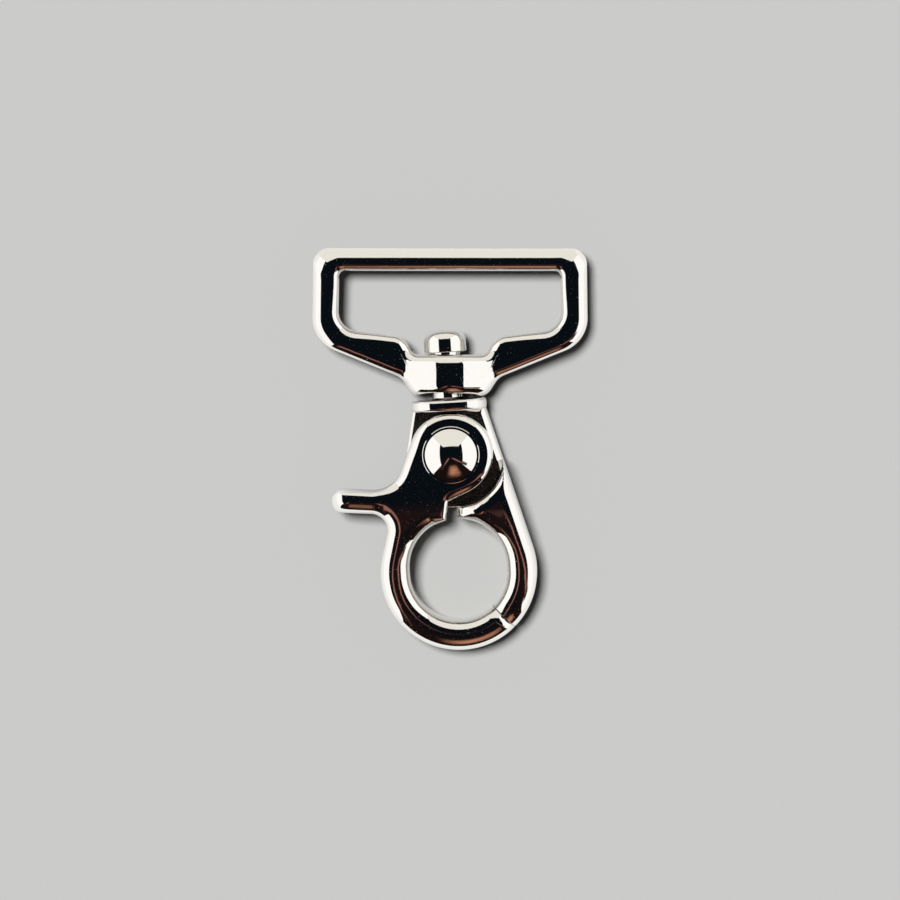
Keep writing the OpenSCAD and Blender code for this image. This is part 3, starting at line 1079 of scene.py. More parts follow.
@dataclass(frozen=True)
class JawPlan:
    """Plan that the two jaws share when they are closed.

    Attributes:
        thickness: Thickness of the hook.
        eye_r: Radius of the eye.
        eye_up: Rise of the eye's upper arc above the ring's middle.
        eye_down: Drop of the eye's lower arc.
        bar_w: Width of the ring's bar.
        beak_w: Metal between the lap plate and the eye.
        split: Angle below level where the jaw tips meet.
        tip_gap: Gap between the tips.
        hub_r: Radius of the lever's hub.
        plate_r: Radius of the lap plate's round end.
        step_r: Radius of the step where the fixed jaw starts.
        lap_gap: Gap in the lap joint.
        flank_top: Where the right flank meets the collar.
        fall_from: Place along the stem where the front starts to fall towards the ring.
        fall_blend: Length over which the fall comes in.
        fall_angle: Angle of the fall in degrees.
    """

    thickness: float = 6.6
    eye_r: float = 5.72
    eye_up: float = 0.67
    eye_down: float = -0.02
    bar_w: float = 3.48
    beak_w: float = 1.23
    split: float = 47.5
    tip_gap: float = 0.15
    hub_r: float = 4.9
    plate_r: float = 6.35
    step_r: float = 6.1
    lap_gap: float = 0.15
    flank_top: tuple[float, float] = (4.35, 5.1)
    fall_from: float = -4.2
    fall_blend: float = 5.0
    fall_angle: float = 5.0

    @property
    def ring_r(self) -> float:
        """Gives the ring's outer radius.

        Returns:
            The radius.
        """
        return self.eye_r + self.bar_w

    @property
    def ring_c(self) -> np.ndarray:
        """Gives the ring's middle.

        Returns:
            The point.
        """
        return np.array([0.0, -(self.plate_r + self.beak_w + self.eye_r + self.eye_up)])

    @property
    def plate_t(self) -> float:
        """Gives the lap plate's thickness.

        Returns:
            The thickness.
        """
        return (self.thickness - self.lap_gap) / 2

    def eye_top(self) -> np.ndarray:
        """Gives the centre of the eye's upper arc.

        Returns:
            The point.
        """
        return self.ring_c + [0, self.eye_up]

    def eye_low(self) -> np.ndarray:
        """Gives the centre of the eye's lower arc.

        Returns:
            The point.
        """
        return self.ring_c - [0, self.eye_down]

    def tip_angle(self, side: int) -> float:
        """Gives the angle of one jaw's tip about the ring's middle.

        Args:
            side: -1 for the lever, 1 for the fixed jaw.

        Returns:
            The angle in degrees.
        """
        return -self.split + side * math.degrees(math.asin(self.tip_gap / 2 / self.ring_r))

    def eye_angle(self, a: float) -> float:
        """Gives the angle on the eye's lower arc of a ray from the ring's middle.

        Args:
            a: The ray's angle in degrees.

        Returns:
            The angle about the arc's own centre.
        """
        return heading(ray_out(self.ring_c, a, self.eye_low(), self.eye_r) - self.eye_low())

    def flank_angle(self) -> float:
        """Gives the angle at which the right flank leaves the ring.

        Returns:
            The angle in degrees about the ring's middle.
        """
        span = np.array(self.flank_top) - self.ring_c
        return heading(span) - math.degrees(math.acos(self.ring_r / np.linalg.norm(span)))

    def flank_foot(self) -> np.ndarray:
        """Gives the point where the right flank leaves the ring.

        Returns:
            The point.
        """
        return polar(self.ring_c, self.ring_r, self.flank_angle())

    def fall(self, points: np.ndarray) -> np.ndarray:
        """Gives how far the hook's front falls away towards the ring.

        Args:
            points: One point a row.

        Returns:
            The fall at each point.
        """
        past = np.clip(self.fall_from - points[:, 1], 0, None)
        blend_in = past ** 2 / (2 * self.fall_blend)
        soft = np.where(past < self.fall_blend, blend_in, past - self.fall_blend / 2)
        return math.tan(math.radians(self.fall_angle)) * soft

    def tip_fall(self, points: np.ndarray, side: int, r: float, width: float) -> np.ndarray:
        """Gives how far a jaw's front rolls down to its tip.

        Args:
            points: One point a row.
            side: -1 for the lever, 1 for the fixed jaw.
            r: Radius of the roll.
            width: Width of the roll.

        Returns:
            The fall at each point.
        """
        rel = points - self.ring_c
        out = polar([0, 0], 1, -self.split)
        gap = side * (rel @ left_of(out)) - self.tip_gap / 2
        left = np.where(rel @ out > 0, np.clip(width - gap, 0, width), 0)
        return roll_drop(r, left)

    def tip_cutter(self, side: int) -> bpy.types.Object:
        """Makes the cutter that ends a jaw flat at the split.

        Args:
            side: -1 for the lever, 1 for the fixed jaw.

        Returns:
            The cutter.
        """
        out = polar([0, 0], 1, -self.split)
        across = left_of(out) * side
        near, far = across * self.tip_gap / 2, -across * self.bar_w
        ends = [self.ring_c + out * r for r in (self.eye_r - self.bar_w, self.ring_r + self.bar_w)]
        plan = [ends[0] + near, ends[1] + near, ends[1] + far, ends[0] + far]
        return prism("tip cutter", np.array(plan), -OVERRUN, self.thickness + OVERRUN)


JAWS = JawPlan()
# The castings' fronts are crowned between their rolled edges, and their backs are flat
FRONT_EDGE = RolledEdge(1.45, 3.4, 8.0, 14)
BACK_EDGE = RolledEdge(1.1)
PLATE_EDGE = RolledEdge(1.05, steps=10)
# Length of the jaw outlines past the split, in degrees, that the cutters take off again
TIP_OVERRUN = 14.0


@dataclass
class HookBody:
    """Casting with the swivel stem, the collar, the lap plate and the fixed jaw.

    Attributes:
        plan: Plan of the jaws.
        notch_x: Sideways place of the jaw's edge in the notch over the eye.
        step_share: Size of the roll on the step, as a share of the other edges'.
        step_span: Distances past the step between which the roll grows to its full size.
        tip_roll: Radius and width of the roll at the jaw's tip.
        beak_roll: Radius and width of the roll at the jaw's other end, in the notch.
        beak_r: Radius of the corner between the notch and the eye.
        beak_run: Room for that corner along the eye, measured sideways.
        beak_rise: How far the corner's sharp point would stand above the start of the eye's arc.
        beak_share: Size of the edge's roll at the beak, as a share of the other edges'.
        beak_span: Sideways places between which the roll shrinks to that size.
        beak_up: Height above the ring's middle by which it has shrunk.
        plate_side: How far the plate reaches to the thumb's side.
        plate_in: How far the plate's flank lies inside the jaw's.
        plate_up: How far the plate reaches up into the collar.
        plate_lap_shares: Angles where the plate's end turns in under the jaw, as shares of the notch's.
        plate_shares: Size of the plate's roll on the thumb's side and round its end, as shares of the
            flank's.
        plate_spans: Places across and along the stem between which those sizes come in.
        shaded_skin_drop: Depth below the plate's face down to which its matt skin, with its painted shade,
            reaches.
        collar: Half width, half thickness and crown radius of the collar.
        collar_y: Places of the collar's two faces along the stem.
        collar_edge: Section of the collar's edges.
        stem_r: Radius of the stem.
        stem_in: How far inside the collar the stem starts.
        root_r: Fillet between the collar and the stem.
        head: Radius, start, end and rim radius of the stem's head.
        under_r: Radius on the head's lower rim.
        bore_r: Radius of the rivet's hole.
        sink_h: Height of the countersink for the rivet's tail.
    """

    plan: JawPlan = JAWS
    notch_x: float = 0.15
    step_share: float = 0.8
    step_span: tuple[float, float] = (0.6, 2.2)
    tip_roll: tuple[float, float] = (5.0, 1.2)
    beak_roll: tuple[float, float] = (4.8, 3.45)
    beak_r: float = 0.6
    beak_run: float = 0.9
    beak_rise: float = 0.15
    beak_share: float = 0.5
    beak_span: tuple[float, float] = (2.6, 0.8)
    beak_up: float = 3.0
    plate_side: float = 5.45
    plate_in: float = 0.02
    plate_up: float = 0.35
    plate_lap_shares: tuple[float, float] = (4.0, 8.0)
    plate_shares: tuple[float, float] = (0.5, 0.3)
    plate_spans: tuple[tuple[float, float], tuple[float, float]] = ((1.0, 3.5), (-3.0, -4.5))
    shaded_skin_drop: float = 0.03
    collar: tuple[float, float, float] = (4.45, 3.3, 8.8)
    collar_y: tuple[float, float] = (5.1, 6.42)
    collar_edge: RolledEdge = RolledEdge(0.4, steps=8)
    stem_r: float = 1.73
    stem_in: float = 0.4
    root_r: float = 0.3
    head: tuple[float, float, float, float] = (2.47, 11.98, 14.48, 1.15)
    under_r: float = 0.15
    bore_r: float = 1.52
    sink_h: float = 0.6

    def flank_at(self, r: float) -> float:
        """Finds where the right flank crosses a circle about the rivet.

        Args:
            r: The circle's radius.

        Returns:
            The angle of the crossing in degrees.
        """
        top = np.array(self.plan.flank_top)
        down = unit(self.plan.flank_foot() - top)
        return heading(ray_out(top, heading(down), np.zeros(2), r))

    def jaw_outline(self) -> np.ndarray:
        """Draws the outline of the fixed jaw, from past its tip up to the step.

        Returns:
            One point a row, counter-clockwise.
        """
        p = self.plan
        tip = p.tip_angle(1) - TIP_OVERRUN
        notch = math.degrees(math.asin(self.notch_x / p.step_r))
        top = polar(np.zeros(2), p.step_r, notch - 90)
        eye_start = math.degrees(math.acos((self.notch_x + self.beak_run) / p.eye_r))
        past = polar(p.eye_top(), p.eye_r, eye_start)
        return np.concatenate([
            arc(p.ring_c, p.ring_r, tip, p.flank_angle()),
            arc(np.zeros(2), p.step_r, self.flank_at(p.step_r), notch - 90),
            corner(top, np.array([self.notch_x, past[1] + self.beak_rise]), past, self.beak_r),
            arc(p.eye_top(), p.eye_r, eye_start, 0),
            arc(p.eye_low(), p.eye_r, 0, p.eye_angle(tip))])

    def plate_outline(self) -> np.ndarray:
        """Draws the outline of the lap plate, which ends inside the jaw.

        Returns:
            One point a row, counter-clockwise.
        """
        p = self.plan
        top = np.array(p.flank_top)
        side = np.array([-self.plate_side, 0.0])
        thumb_up = unit(mirrored(top) - side)
        end = ray_out(side, heading(-thumb_up), np.zeros(2), p.plate_r)
        flank_up = unit(top - p.flank_foot())
        shy = left_of(flank_up) * self.plate_in
        deep = (p.plate_r + p.step_r + p.beak_w) / 2
        notch = math.degrees(math.asin(self.notch_x / p.plate_r))
        lap_start, lap_end = self.plate_lap_shares
        return np.concatenate([
            [top + flank_up * self.plate_up + shy, mirrored(top) + thumb_up * self.plate_up],
            arc(np.zeros(2), p.plate_r, heading(end) + 360, 270 + lap_start * notch),
            arc(np.zeros(2), deep, 270 + lap_end * notch, self.flank_at(deep) + 360)[:-1],
            [polar([0, 0], deep, self.flank_at(deep)) + shy]])

    def make_plate(self) -> bpy.types.Object:
        """Builds the lap plate, whose sunk face keeps the matt skin of the casting.

        Returns:
            The plate, with its matt faces, darkened as painted shade of the recess, in the second material
            slot.
        """
        p = self.plan
        plate = CastPlate(
            self.plate_outline(), p.plate_t, PLATE_EDGE, BACK_EDGE, share=self.plate_share).build("plate")
        moved(plate, Matrix.Translation((0, 0, self.plate_in)))
        # Faces above this level take the skin finish, whose dark colour is painted shade
        level = (p.plate_t + self.plate_in - self.shaded_skin_drop) * MM
        for face in plate.data.polygons:
            face.material_index = int(all(plate.data.vertices[i].co.z > level for i in face.vertices))
        bore = drum("rivet bore", self.bore_r, -OVERRUN, p.thickness + OVERRUN)
        wide = self.bore_r + self.sink_h + OVERRUN
        sink = turned("countersink", np.array([
            [0, -OVERRUN], [wide, -OVERRUN], [self.bore_r, self.sink_h], [0, self.sink_h]]))
        return cut(plate, bore, sink)

    def plate_share(self, points: np.ndarray) -> np.ndarray:
        """Gives the size of the plate's rolled edge, which is largest on the flank.

        Args:
            points: One point a row.

        Returns:
            The share of the full size at each point.
        """
        (thumb, end), (across, along) = self.plate_shares, self.plate_spans
        share = thumb + (1 - thumb) * ease(*across, points[:, 0])
        return share * (1 - (1 - end) * ease(*along, points[:, 1]))

    def jaw_fall(self, points: np.ndarray) -> np.ndarray:
        """Gives how far the jaw's front falls away.

        Args:
            points: One point a row.

        Returns:
            The fall at each point.
        """
        x, y = points.T
        r, width = self.beak_roll
        left = np.where(y > self.plan.ring_c[1], np.clip(width + self.notch_x - x, 0, width), 0)
        return self.plan.fall(points) + self.plan.tip_fall(points, 1, *self.tip_roll) + roll_drop(r, left)

    def make_jaw(self) -> bpy.types.Object:
        """Builds the fixed jaw.

        Returns:
            The jaw.
        """
        p = self.plan
        jaw = CastPlate(
            self.jaw_outline(), p.thickness, FRONT_EDGE, BACK_EDGE, self.jaw_fall, self.jaw_share)
        return cut(jaw.build("hook_casting"), p.tip_cutter(1))

    def jaw_share(self, points: np.ndarray) -> np.ndarray:
        """Gives the size of the jaw's rolled edge, which is smaller on the step and round the beak.

        Args:
            points: One point a row.

        Returns:
            The share of the full size at each point.
        """
        past_step = np.linalg.norm(points, axis=1) - self.plan.step_r
        share = self.step_share + (1 - self.step_share) * ease(*self.step_span, past_step)
        above_middle = points[:, 1] - self.plan.ring_c[1]
        beak = ease(*self.beak_span, points[:, 0]) * ease(0, self.beak_up, above_middle)
        return share * (1 - (1 - self.beak_share) * beak)

    def make_collar(self) -> bpy.types.Object:
        """Builds the oval collar.

        Returns:
            The collar.
        """
        a, b, r = self.collar
        s = (2 * r * b - b * b - a * a) / (2 * (r - a))
        w = math.degrees(math.atan2(a - s, r - b))
        oval = np.concatenate([
            arc([a - s, 0], s, w - 90, 90 - w), arc([0, b - r], r, 90 - w, 90 + w),
            arc([s - a, 0], s, 90 + w, 270 - w), arc([0, r - b], r, 270 - w, 270 + w)])
        low, high = self.collar_y
        plate = CastPlate(oval, high - low, self.collar_edge, self.collar_edge).build("collar")
        place = Matrix.Translation((0, high, self.plan.thickness / 2))
        return moved(plate, place @ Matrix.Rotation(math.radians(90), 4, "X"))

    def make_stem(self) -> bpy.types.Object:
        """Turns the stem with its head.

        Returns:
            The stem.
        """
        r, low, high, rim = self.head
        root, lip = self.root_r, self.under_r
        start = self.collar_y[0] + self.stem_in
        foot = arc([self.stem_r + root, self.collar_y[1] + root], root, 270, 180, count=8)
        under = arc([r - lip, low + lip], lip, -90, 0, count=5)
        over = arc([r - rim, high - rim], rim, 0, 90, count=14)
        base = [[0, start], [self.stem_r + root, start]]
        profile = np.concatenate([base, foot, [[self.stem_r, low]], under, over, [[0, high]]])
        place = Matrix.Translation((0, 0, self.plan.thickness / 2))
        return moved(turned("stem", profile), place @ Matrix.Rotation(math.radians(-90), 4, "X"))

    def build(self) -> bpy.types.Object:
        """Builds the casting.

        Returns:
            The hook's body.
        """
        return smooth(joined(self.make_jaw(), self.make_plate(), self.make_collar(), self.make_stem()))


@dataclass
class ThumbLever:
    """Casting with the hub, the thumb tab and the moving jaw.

    Attributes:
        plan: Plan of the jaws.
        neck_flare: Flare of the neck in degrees.
        tab_end: End of the tab.
        tab_w: Width of the tab.
        tab_tilt: Upward tilt of the tab in degrees.
        tab_end_r: Radius on the tab's end.
        tab_root_r: Fillet over the tab.
        tab_under_r: Fillet under the tab.
        heel_x: Sideways place of the heel.
        heel_r: Distance of the heel from the rivet.
        notch_x: Sideways place of the lever's corner at the top of the eye.
        lap_r: Radius of the room for the lap plate.
        upper_shares: Size of the roll over the tab, at the neck, round the hub and at the heel, as shares
            of the jaw's.
        neck_span: Sideways places between which the tab's size turns into the neck's.
        hub_span: Sideways places between which the neck's size turns into the hub's.
        heel_span: Sideways places between which the hub's size turns into the heel's.
        heel_drop: Places along the stem between which it does so.
        divide: Places along the stem, under the tab and under the heel, where the jaw's size takes over.
        divide_span: Sideways places between which that line drops.
        divide_w: Half the width of the change there.
        tab_roll: Radius and width of the roll at the tab's end.
        tip_roll: Radius and width of the roll at the jaw's tip.
        spot: Radius and depth of the spot face under the rivet's head.
        bead: Width and height of the bead that riveting raises round the spot face.
        bore_r: Radius of the pivot's hole.
        crease: Angle in degrees from which an edge stays sharp, low enough for the bead's.
    """

    plan: JawPlan = JAWS
    neck_flare: float = 23.0
    tab_end: tuple[float, float] = (-14.33, -4.66)
    tab_w: float = 2.6
    tab_tilt: float = 6.0
    tab_end_r: float = 1.248
    tab_root_r: float = 3.7
    tab_under_r: float = 1.9
    heel_x: float = 0.65
    heel_r: float = 5.48
    notch_x: float = 1.05
    lap_r: float = 6.55
    upper_shares: tuple[float, float, float, float] = (0.42, 0.88, 0.6, 0.38)
    neck_span: tuple[float, float] = (-9.0, -6.0)
    hub_span: tuple[float, float] = (-4.4, -2.2)
    heel_span: tuple[float, float] = (-2.6, -1.4)
    heel_drop: tuple[float, float] = (-4.4, -5.6)
    divide: tuple[float, float] = (-4.6, -9.4)
    divide_span: tuple[float, float] = (-4.6, -1.4)
    divide_w: float = 0.9
    tab_roll: tuple[float, float] = (3.0, 2.1)
    tip_roll: tuple[float, float] = (1.5, 1.05)
    spot: tuple[float, float] = (3.2, 0.3)
    bead: tuple[float, float] = (0.15, 0.025)
    bore_r: float = 1.56
    crease: float = 18.0

    def outline(self) -> np.ndarray:
        """Draws the outline of the lever.

        Returns:
            One point a row, counter-clockwise.
        """
        p = self.plan
        heel = -np.array([self.heel_x, math.sqrt(self.heel_r ** 2 - self.heel_x ** 2)])
        neck = polar(np.zeros(2), p.hub_r, 180 - self.neck_flare)
        out = np.array([-math.cos(math.radians(self.tab_tilt)), math.sin(math.radians(self.tab_tilt))])
        upper = np.array(self.tab_end) - left_of(out) * self.tab_w / 2
        lower = np.array(self.tab_end) + left_of(out) * self.tab_w / 2
        foot = mirrored(p.flank_foot())
        flank_up = unit(mirrored(np.array(p.flank_top)) - foot)
        root = meet(neck, left_of(neck), upper, out)
        under = meet(lower, out, foot, flank_up)
        hub_start = heading(heel) + math.degrees(math.acos(p.hub_r / np.linalg.norm(heel)))
        notch = math.degrees(math.asin(self.notch_x / p.eye_r))
        tip = p.tip_angle(-1) + TIP_OVERRUN
        return np.concatenate([
            arc(np.zeros(2), p.hub_r, hub_start, 180 - self.neck_flare),
            corner(neck, root, upper, self.tab_root_r),
            corner(root, upper, lower, self.tab_end_r),
            corner(upper, lower, under, self.tab_end_r),
            corner(lower, under, foot, self.tab_under_r),
            arc(p.ring_c, p.ring_r, 180 - p.flank_angle(), 360 + tip),
            arc(p.eye_low(), p.eye_r, p.eye_angle(tip), -180),
            arc(p.eye_top(), p.eye_r, 180, 90 + notch),
            [heel]])

    def roll_share(self, points: np.ndarray) -> np.ndarray:
        """Gives the size of the rolled edge, which is smaller round the hub and over the tab.

        Args:
            points: One point a row.

        Returns:
            The share of the full size at each point.
        """
        x, y = points.T
        high, low = self.divide
        above = y - (high + (low - high) * ease(*self.divide_span, x))
        tab, neck, hub, heel = self.upper_shares
        upper = tab + (neck - tab) * ease(*self.neck_span, x) + (hub - neck) * ease(*self.hub_span, x)
        upper = upper + (heel - hub) * ease(*self.heel_span, x) * ease(*self.heel_drop, y)
        return 1 - (1 - upper) * ease(-self.divide_w, self.divide_w, above)

    def front_fall(self, points: np.ndarray) -> np.ndarray:
        """Gives how far the lever's front falls away towards the ring, the jaw's tip and the tab's end.

        Args:
            points: One point a row.

        Returns:
            The fall at each point.
        """
        p = self.plan
        r, width = self.tab_roll
        left = np.clip(self.tab_end[0] + width - points[:, 0], 0, width)
        return p.fall(points) + p.tip_fall(points, -1, *self.tip_roll) + roll_drop(r, left)

    def build(self) -> bpy.types.Object:
        """Builds the casting.

        Returns:
            The lever.
        """
        p = self.plan
        lever = CastPlate(
            self.outline(), p.thickness, FRONT_EDGE, BACK_EDGE, self.front_fall, self.roll_share,
        ).build("lever_casting")
        hub_z = p.plate_t + p.lap_gap
        lap = drum("lap cutter", self.lap_r, -OVERRUN, hub_z)
        bore = drum("pivot bore", self.bore_r, hub_z - OVERRUN, p.thickness + OVERRUN)
        r, deep = self.spot
        top, floor = p.thickness, p.thickness - deep
        spot = drum("spot cutter", r, floor, top + OVERRUN)
        wide, high = self.bead
        bead = turned("bead", np.array([
            [r, floor], [r, top + high], [r + wide / 2, top + high], [r + wide, top], [r + wide, floor]]),
            closed=True)
        return smooth(joined(cut(lever, p.tip_cutter(-1), lap, bore, spot), bead), self.crease)


@dataclass
class PivotRivet:
    """Domed rivet with a countersunk tail.

    Attributes:
        shank_r: Radius of the shank.
        head_r: Radius of the head.
        dome_r: Radius of the dome.
        seat_z: Height of the head's underside.
        rim_h: Height of the rim under the dome.
        tail: Radius, height and recess of the tail.
    """

    shank_r: float = 1.5
    head_r: float = 3.03
    dome_r: float = 4.6
    seat_z: float = 6.36
    rim_h: float = 0.3
    tail: tuple[float, float, float] = (2.1, 0.6, 0.02)

    def build(self) -> bpy.types.Object:
        """Builds the rivet.

        Returns:
            The rivet.
        """
        tail_r, tail_h, low = self.tail
        centre = self.seat_z + self.rim_h - math.sqrt(self.dome_r ** 2 - self.head_r ** 2)
        rim = math.degrees(math.acos(self.head_r / self.dome_r))
        dome = arc([0, centre], self.dome_r, rim, 90, count=40)
        profile = np.concatenate([
            [[0, low], [tail_r, low], [self.shank_r, low + tail_h],
             [self.shank_r, self.seat_z], [self.head_r, self.seat_z]], dome])
        profile[-1, 0] = 0.0
        return smooth(turned("rivet", profile))


@dataclass
class TorsionSpring:
    """Coil spring round the rivet, with a leg in each casting.

    Attributes:
        coil_r: Radius of the coil at the wire's middle.
        wire_r: Radius of the wire.
        turns: Turns of the coil.
        pitch: Rise in one turn.
        leg: Length of the legs.
        mid_z: Height of the coil's middle.
        turn_steps: Steps in one turn.
        wire_sides: Sides of the round wire.
        crease: Angle in degrees from which an edge stays sharp, above that between the wire's sides.
    """

    coil_r: float = 2.05
    wire_r: float = 0.25
    turns: float = 3.25
    pitch: float = 0.6
    leg: float = 1.1
    mid_z: float = 3.3
    turn_steps: int = 40
    wire_sides: int = 16
    crease: float = 50.0

    def path(self) -> np.ndarray:
        """Draws the wire's middle line: leg, coil, leg.

        Returns:
            One point a row.
        """
        half = self.turns * self.pitch / 2
        a = np.linspace(0, 2 * math.pi * self.turns, round(self.turns * self.turn_steps))
        rise = np.linspace(-half, half, len(a))
        coil = np.stack([self.coil_r * np.cos(a), self.coil_r * np.sin(a), rise], axis=1)
        first = coil[0] - [[0, 0, self.leg], [0, 0, self.leg / 2]]
        last = coil[-1] + [[0, 0, self.leg / 2], [0, 0, self.leg]]
        return np.concatenate([first, coil, last]) + [0, 0, self.mid_z]

    def wire_nodes(self) -> tuple[bpy.types.NodeTree, dict[str, str]]:
        """Builds the geometry nodes that lay a round wire along a line of points.

        Returns:
            The node tree, and its inputs' identifiers by name.
        """
        tree = bpy.data.node_groups.new("wire along a path", "GeometryNodeTree")
        side = tree.interface
        side.new_socket(name="Path", in_out="INPUT", socket_type="NodeSocketGeometry")
        names = {}
        for name, kind in (("Wire Radius", "NodeSocketFloat"), ("Wire Sides", "NodeSocketInt"),
                           ("Finish", "NodeSocketMaterial")):
            names[name] = side.new_socket(name=name, in_out="INPUT", socket_type=kind).identifier
        side.new_socket(name="Wire", in_out="OUTPUT", socket_type="NodeSocketGeometry")
        given = add_node(tree, "NodeGroupInput").outputs
        line = add_node(tree, "GeometryNodeMeshToCurve", {"Mesh": given["Path"]})
        ring = add_node(tree, "GeometryNodeCurvePrimitiveCircle", {
            "Resolution": given["Wire Sides"], "Radius": given["Wire Radius"]})
        wire = add_node(tree, "GeometryNodeCurveToMesh", {
            "Curve": line.outputs["Curve"], "Profile Curve": ring.outputs["Curve"], "Fill Caps": True})
        real = add_node(tree, "GeometryNodeRealizeInstances", {"Geometry": wire.outputs["Mesh"]})
        done = add_node(tree, "GeometryNodeSetMaterial", {
            "Geometry": real.outputs["Geometry"], "Material": given["Finish"]})
        add_node(tree, "NodeGroupOutput", {"Wire": done.outputs["Geometry"]})
        return tree, names

    def build(self, material: bpy.types.Material) -> bpy.types.Object:
        """Builds the spring.

        Args:
            material: The wire's material.

        Returns:
            The spring.
        """
        points = self.path() * MM
        mesh = bpy.data.meshes.new("spring_coil")
        mesh.from_pydata(points.tolist(), [(i, i + 1) for i in range(len(points) - 1)], [])
        obj = bpy.data.objects.new("spring_coil", mesh)
        bpy.context.scene.collection.objects.link(obj)
        tree, names = self.wire_nodes()
        wire = obj.modifiers.new("wire", "NODES")
        wire.node_group = tree
        wire[names["Wire Radius"]] = self.wire_r * MM
        wire[names["Wire Sides"]] = self.wire_sides
        wire[names["Finish"]] = material
        obj.data = bpy.data.meshes.new_from_object(obj.evaluated_get(bpy.context.evaluated_depsgraph_get()))
        obj.modifiers.clear()
        return smooth(obj, self.crease)


# Steps round the four corners of the loop's half outlines, and along the five runs between them
BEND_STEPS = (14, 14, 28, 20)
RUN_STEPS = (40, 6, 24, 24, 40)


@dataclass
class StrapLoop:
    """Casting with the swivel barrel, two arms, two side bars and the strap bar.

    Attributes:
        centre: Middle of the barrel.
        lean: Lean of the loop on the loose stem, in degrees.
        bore_r: Radius of the barrel's bore.
        barrel: Length and width of the barrel.
        crest_r: Radius of the barrel's crest.
        slope: Slope of the barrel's flanks in degrees.
        root_r: Radius of the hollow between the flanks and the arms.
        half_t: Half thickness of the barrel and of the bars.
        inside: Half width of the slot, and how far its sides lean in.
        heights: Slot's lower corner and top, from the barrel's middle.
        side_w: Width of the side bars.
        top_w: Width of the strap bar.
        knee_in: How far the inner knee stands out from the barrel, and its rise.
        knee_out: How far the outer knee stands out from the barrel, and its rise.
        outer_low: Height of the outer lower corner, from the barrel's middle.
        inner_r: Inner radii: throat, knee, lower corner, top corner.
        outer_r: Outer radii: barrel, knee, lower corner, top corner.
        edge_out: Section of the outer edges.
        edge_in: Section of the slot's edges.
        corner_fall: Radius and width of the larger roll over the top corners, and the reach of its bend.
        corner_shares: Places along the bars between which that roll comes in, as shares of the reach.
        throat_share: Size of the slot's roll at the barrel, as a share of that on the bars.
        throat_spans: Places across and along the stem between which that size comes in.
        low_share: Share of that growth that the slot's lower corners have.
        low_in: How far in from each lower corner the middle of its growth lies.
        low_span: Distances from that middle between which it comes in.
        arm_share: Size of the roll under the arms, as a share of the other outer edges'.
        arm_spans: Sideways places between which that size comes in, and goes again.
        face_rows: Rows of points across the flat of the front.
        seat: Radius and depth of the cone seat in the barrel's lower end.
        shift: How far the cast loop stands to the right of its bore.
    """

    centre: tuple[float, float, float] = (0.0, 9.2556, 3.3)
    lean: float = 3.5
    bore_r: float = 1.934
    barrel: tuple[float, float] = (4.94, 8.7)
    crest_r: float = 5.5
    slope: float = 20.5
    root_r: float = 0.9
    half_t: tuple[float, float] = (3.3, 1.7)
    inside: tuple[float, float] = (13.1, 0.15)
    heights: tuple[float, float] = (5.41, 12.24)
    side_w: float = 3.1
    top_w: float = 2.65
    knee_in: tuple[float, float] = (1.05, 2.0)
    knee_out: tuple[float, float] = (1.41, 2.23)
    outer_low: float = 4.0
    inner_r: tuple[float, float, float, float] = (1.0, 2.2, 2.35, 0.6)
    outer_r: tuple[float, float, float, float] = (1.8, 2.2, 4.1, 1.9)
    edge_out: RolledEdge = RolledEdge(1.4)
    edge_in: RolledEdge = RolledEdge(0.85)
    corner_fall: tuple[float, float, float] = (2.4, 2.2, 3.1)
    corner_shares: tuple[float, float] = (-1.5, 0.3)
    throat_share: float = 1.4
    throat_spans: tuple[tuple[float, float], tuple[float, float]] = ((6.5, 4.5), (5.5, 4.0))
    low_share: float = 0.6
    low_in: float = 1.0
    low_span: tuple[float, float] = (4.6, 0.4)
    arm_share: float = 0.62
    arm_spans: tuple[tuple[float, float], tuple[float, float]] = ((4.8, 6.5), (15.6, 13.0))
    face_rows: int = 4
    seat: tuple[float, float] = (4.2, 1.0)
    shift: float = 0.35

    def half_thickness(self, points: np.ndarray) -> np.ndarray:
        """Gives the loop's half thickness.

        Args:
            points: One point a row.

        Returns:
            The half thickness at each point: crest, flanks and hollows at the barrel, then flat arms.
        """
        a = math.radians(self.slope)
        rise = self.half_t[0] - self.half_t[1]
        crest_x = self.crest_r * math.sin(a)
        drops = (self.crest_r + self.root_r) * (1 - math.cos(a))
        flank_x = crest_x + (rise - drops) / math.tan(a)
        arm_x = flank_x + self.root_r * math.sin(a)
        x = np.abs(points[:, 0])
        crest = self.half_t[0] - roll_drop(self.crest_r, np.minimum(x, crest_x))
        flank = np.clip(x - crest_x, 0, flank_x - crest_x) * math.tan(a)
        left = np.clip(arm_x - x, 0, self.root_r * math.sin(a))
        hollow = roll_drop(self.root_r, left)
        level = np.where(x > flank_x, self.half_t[1] + hollow, crest - flank)
        return np.where((points[:, 1] > self.heights[0]) | (x > arm_x), self.half_t[1], level)

    def corners(self, inner: bool) -> np.ndarray:
        """Lists the corners of one half outline, from the barrel's middle round to the strap bar's.

        Args:
            inner: Whether the outline is the slot's or the outer one.

        Returns:
            One corner a row.
        """
        half_l, half_w = self.barrel[0] / 2, self.barrel[1] / 2
        wide, draft = self.inside
        low, top = self.heights
        if inner:
            return np.array([
                [0, half_l], [half_w, half_l], [half_w + self.knee_in[0], half_l + self.knee_in[1]],
                [wide, low], [wide - draft, top], [0, top]])
        return np.array([
            [0, -half_l], [half_w, -half_l], [half_w + self.knee_out[0], self.knee_out[1] - half_l],
            [wide + self.side_w, self.outer_low], [wide + self.side_w - draft, top + self.top_w],
            [0, top + self.top_w]])

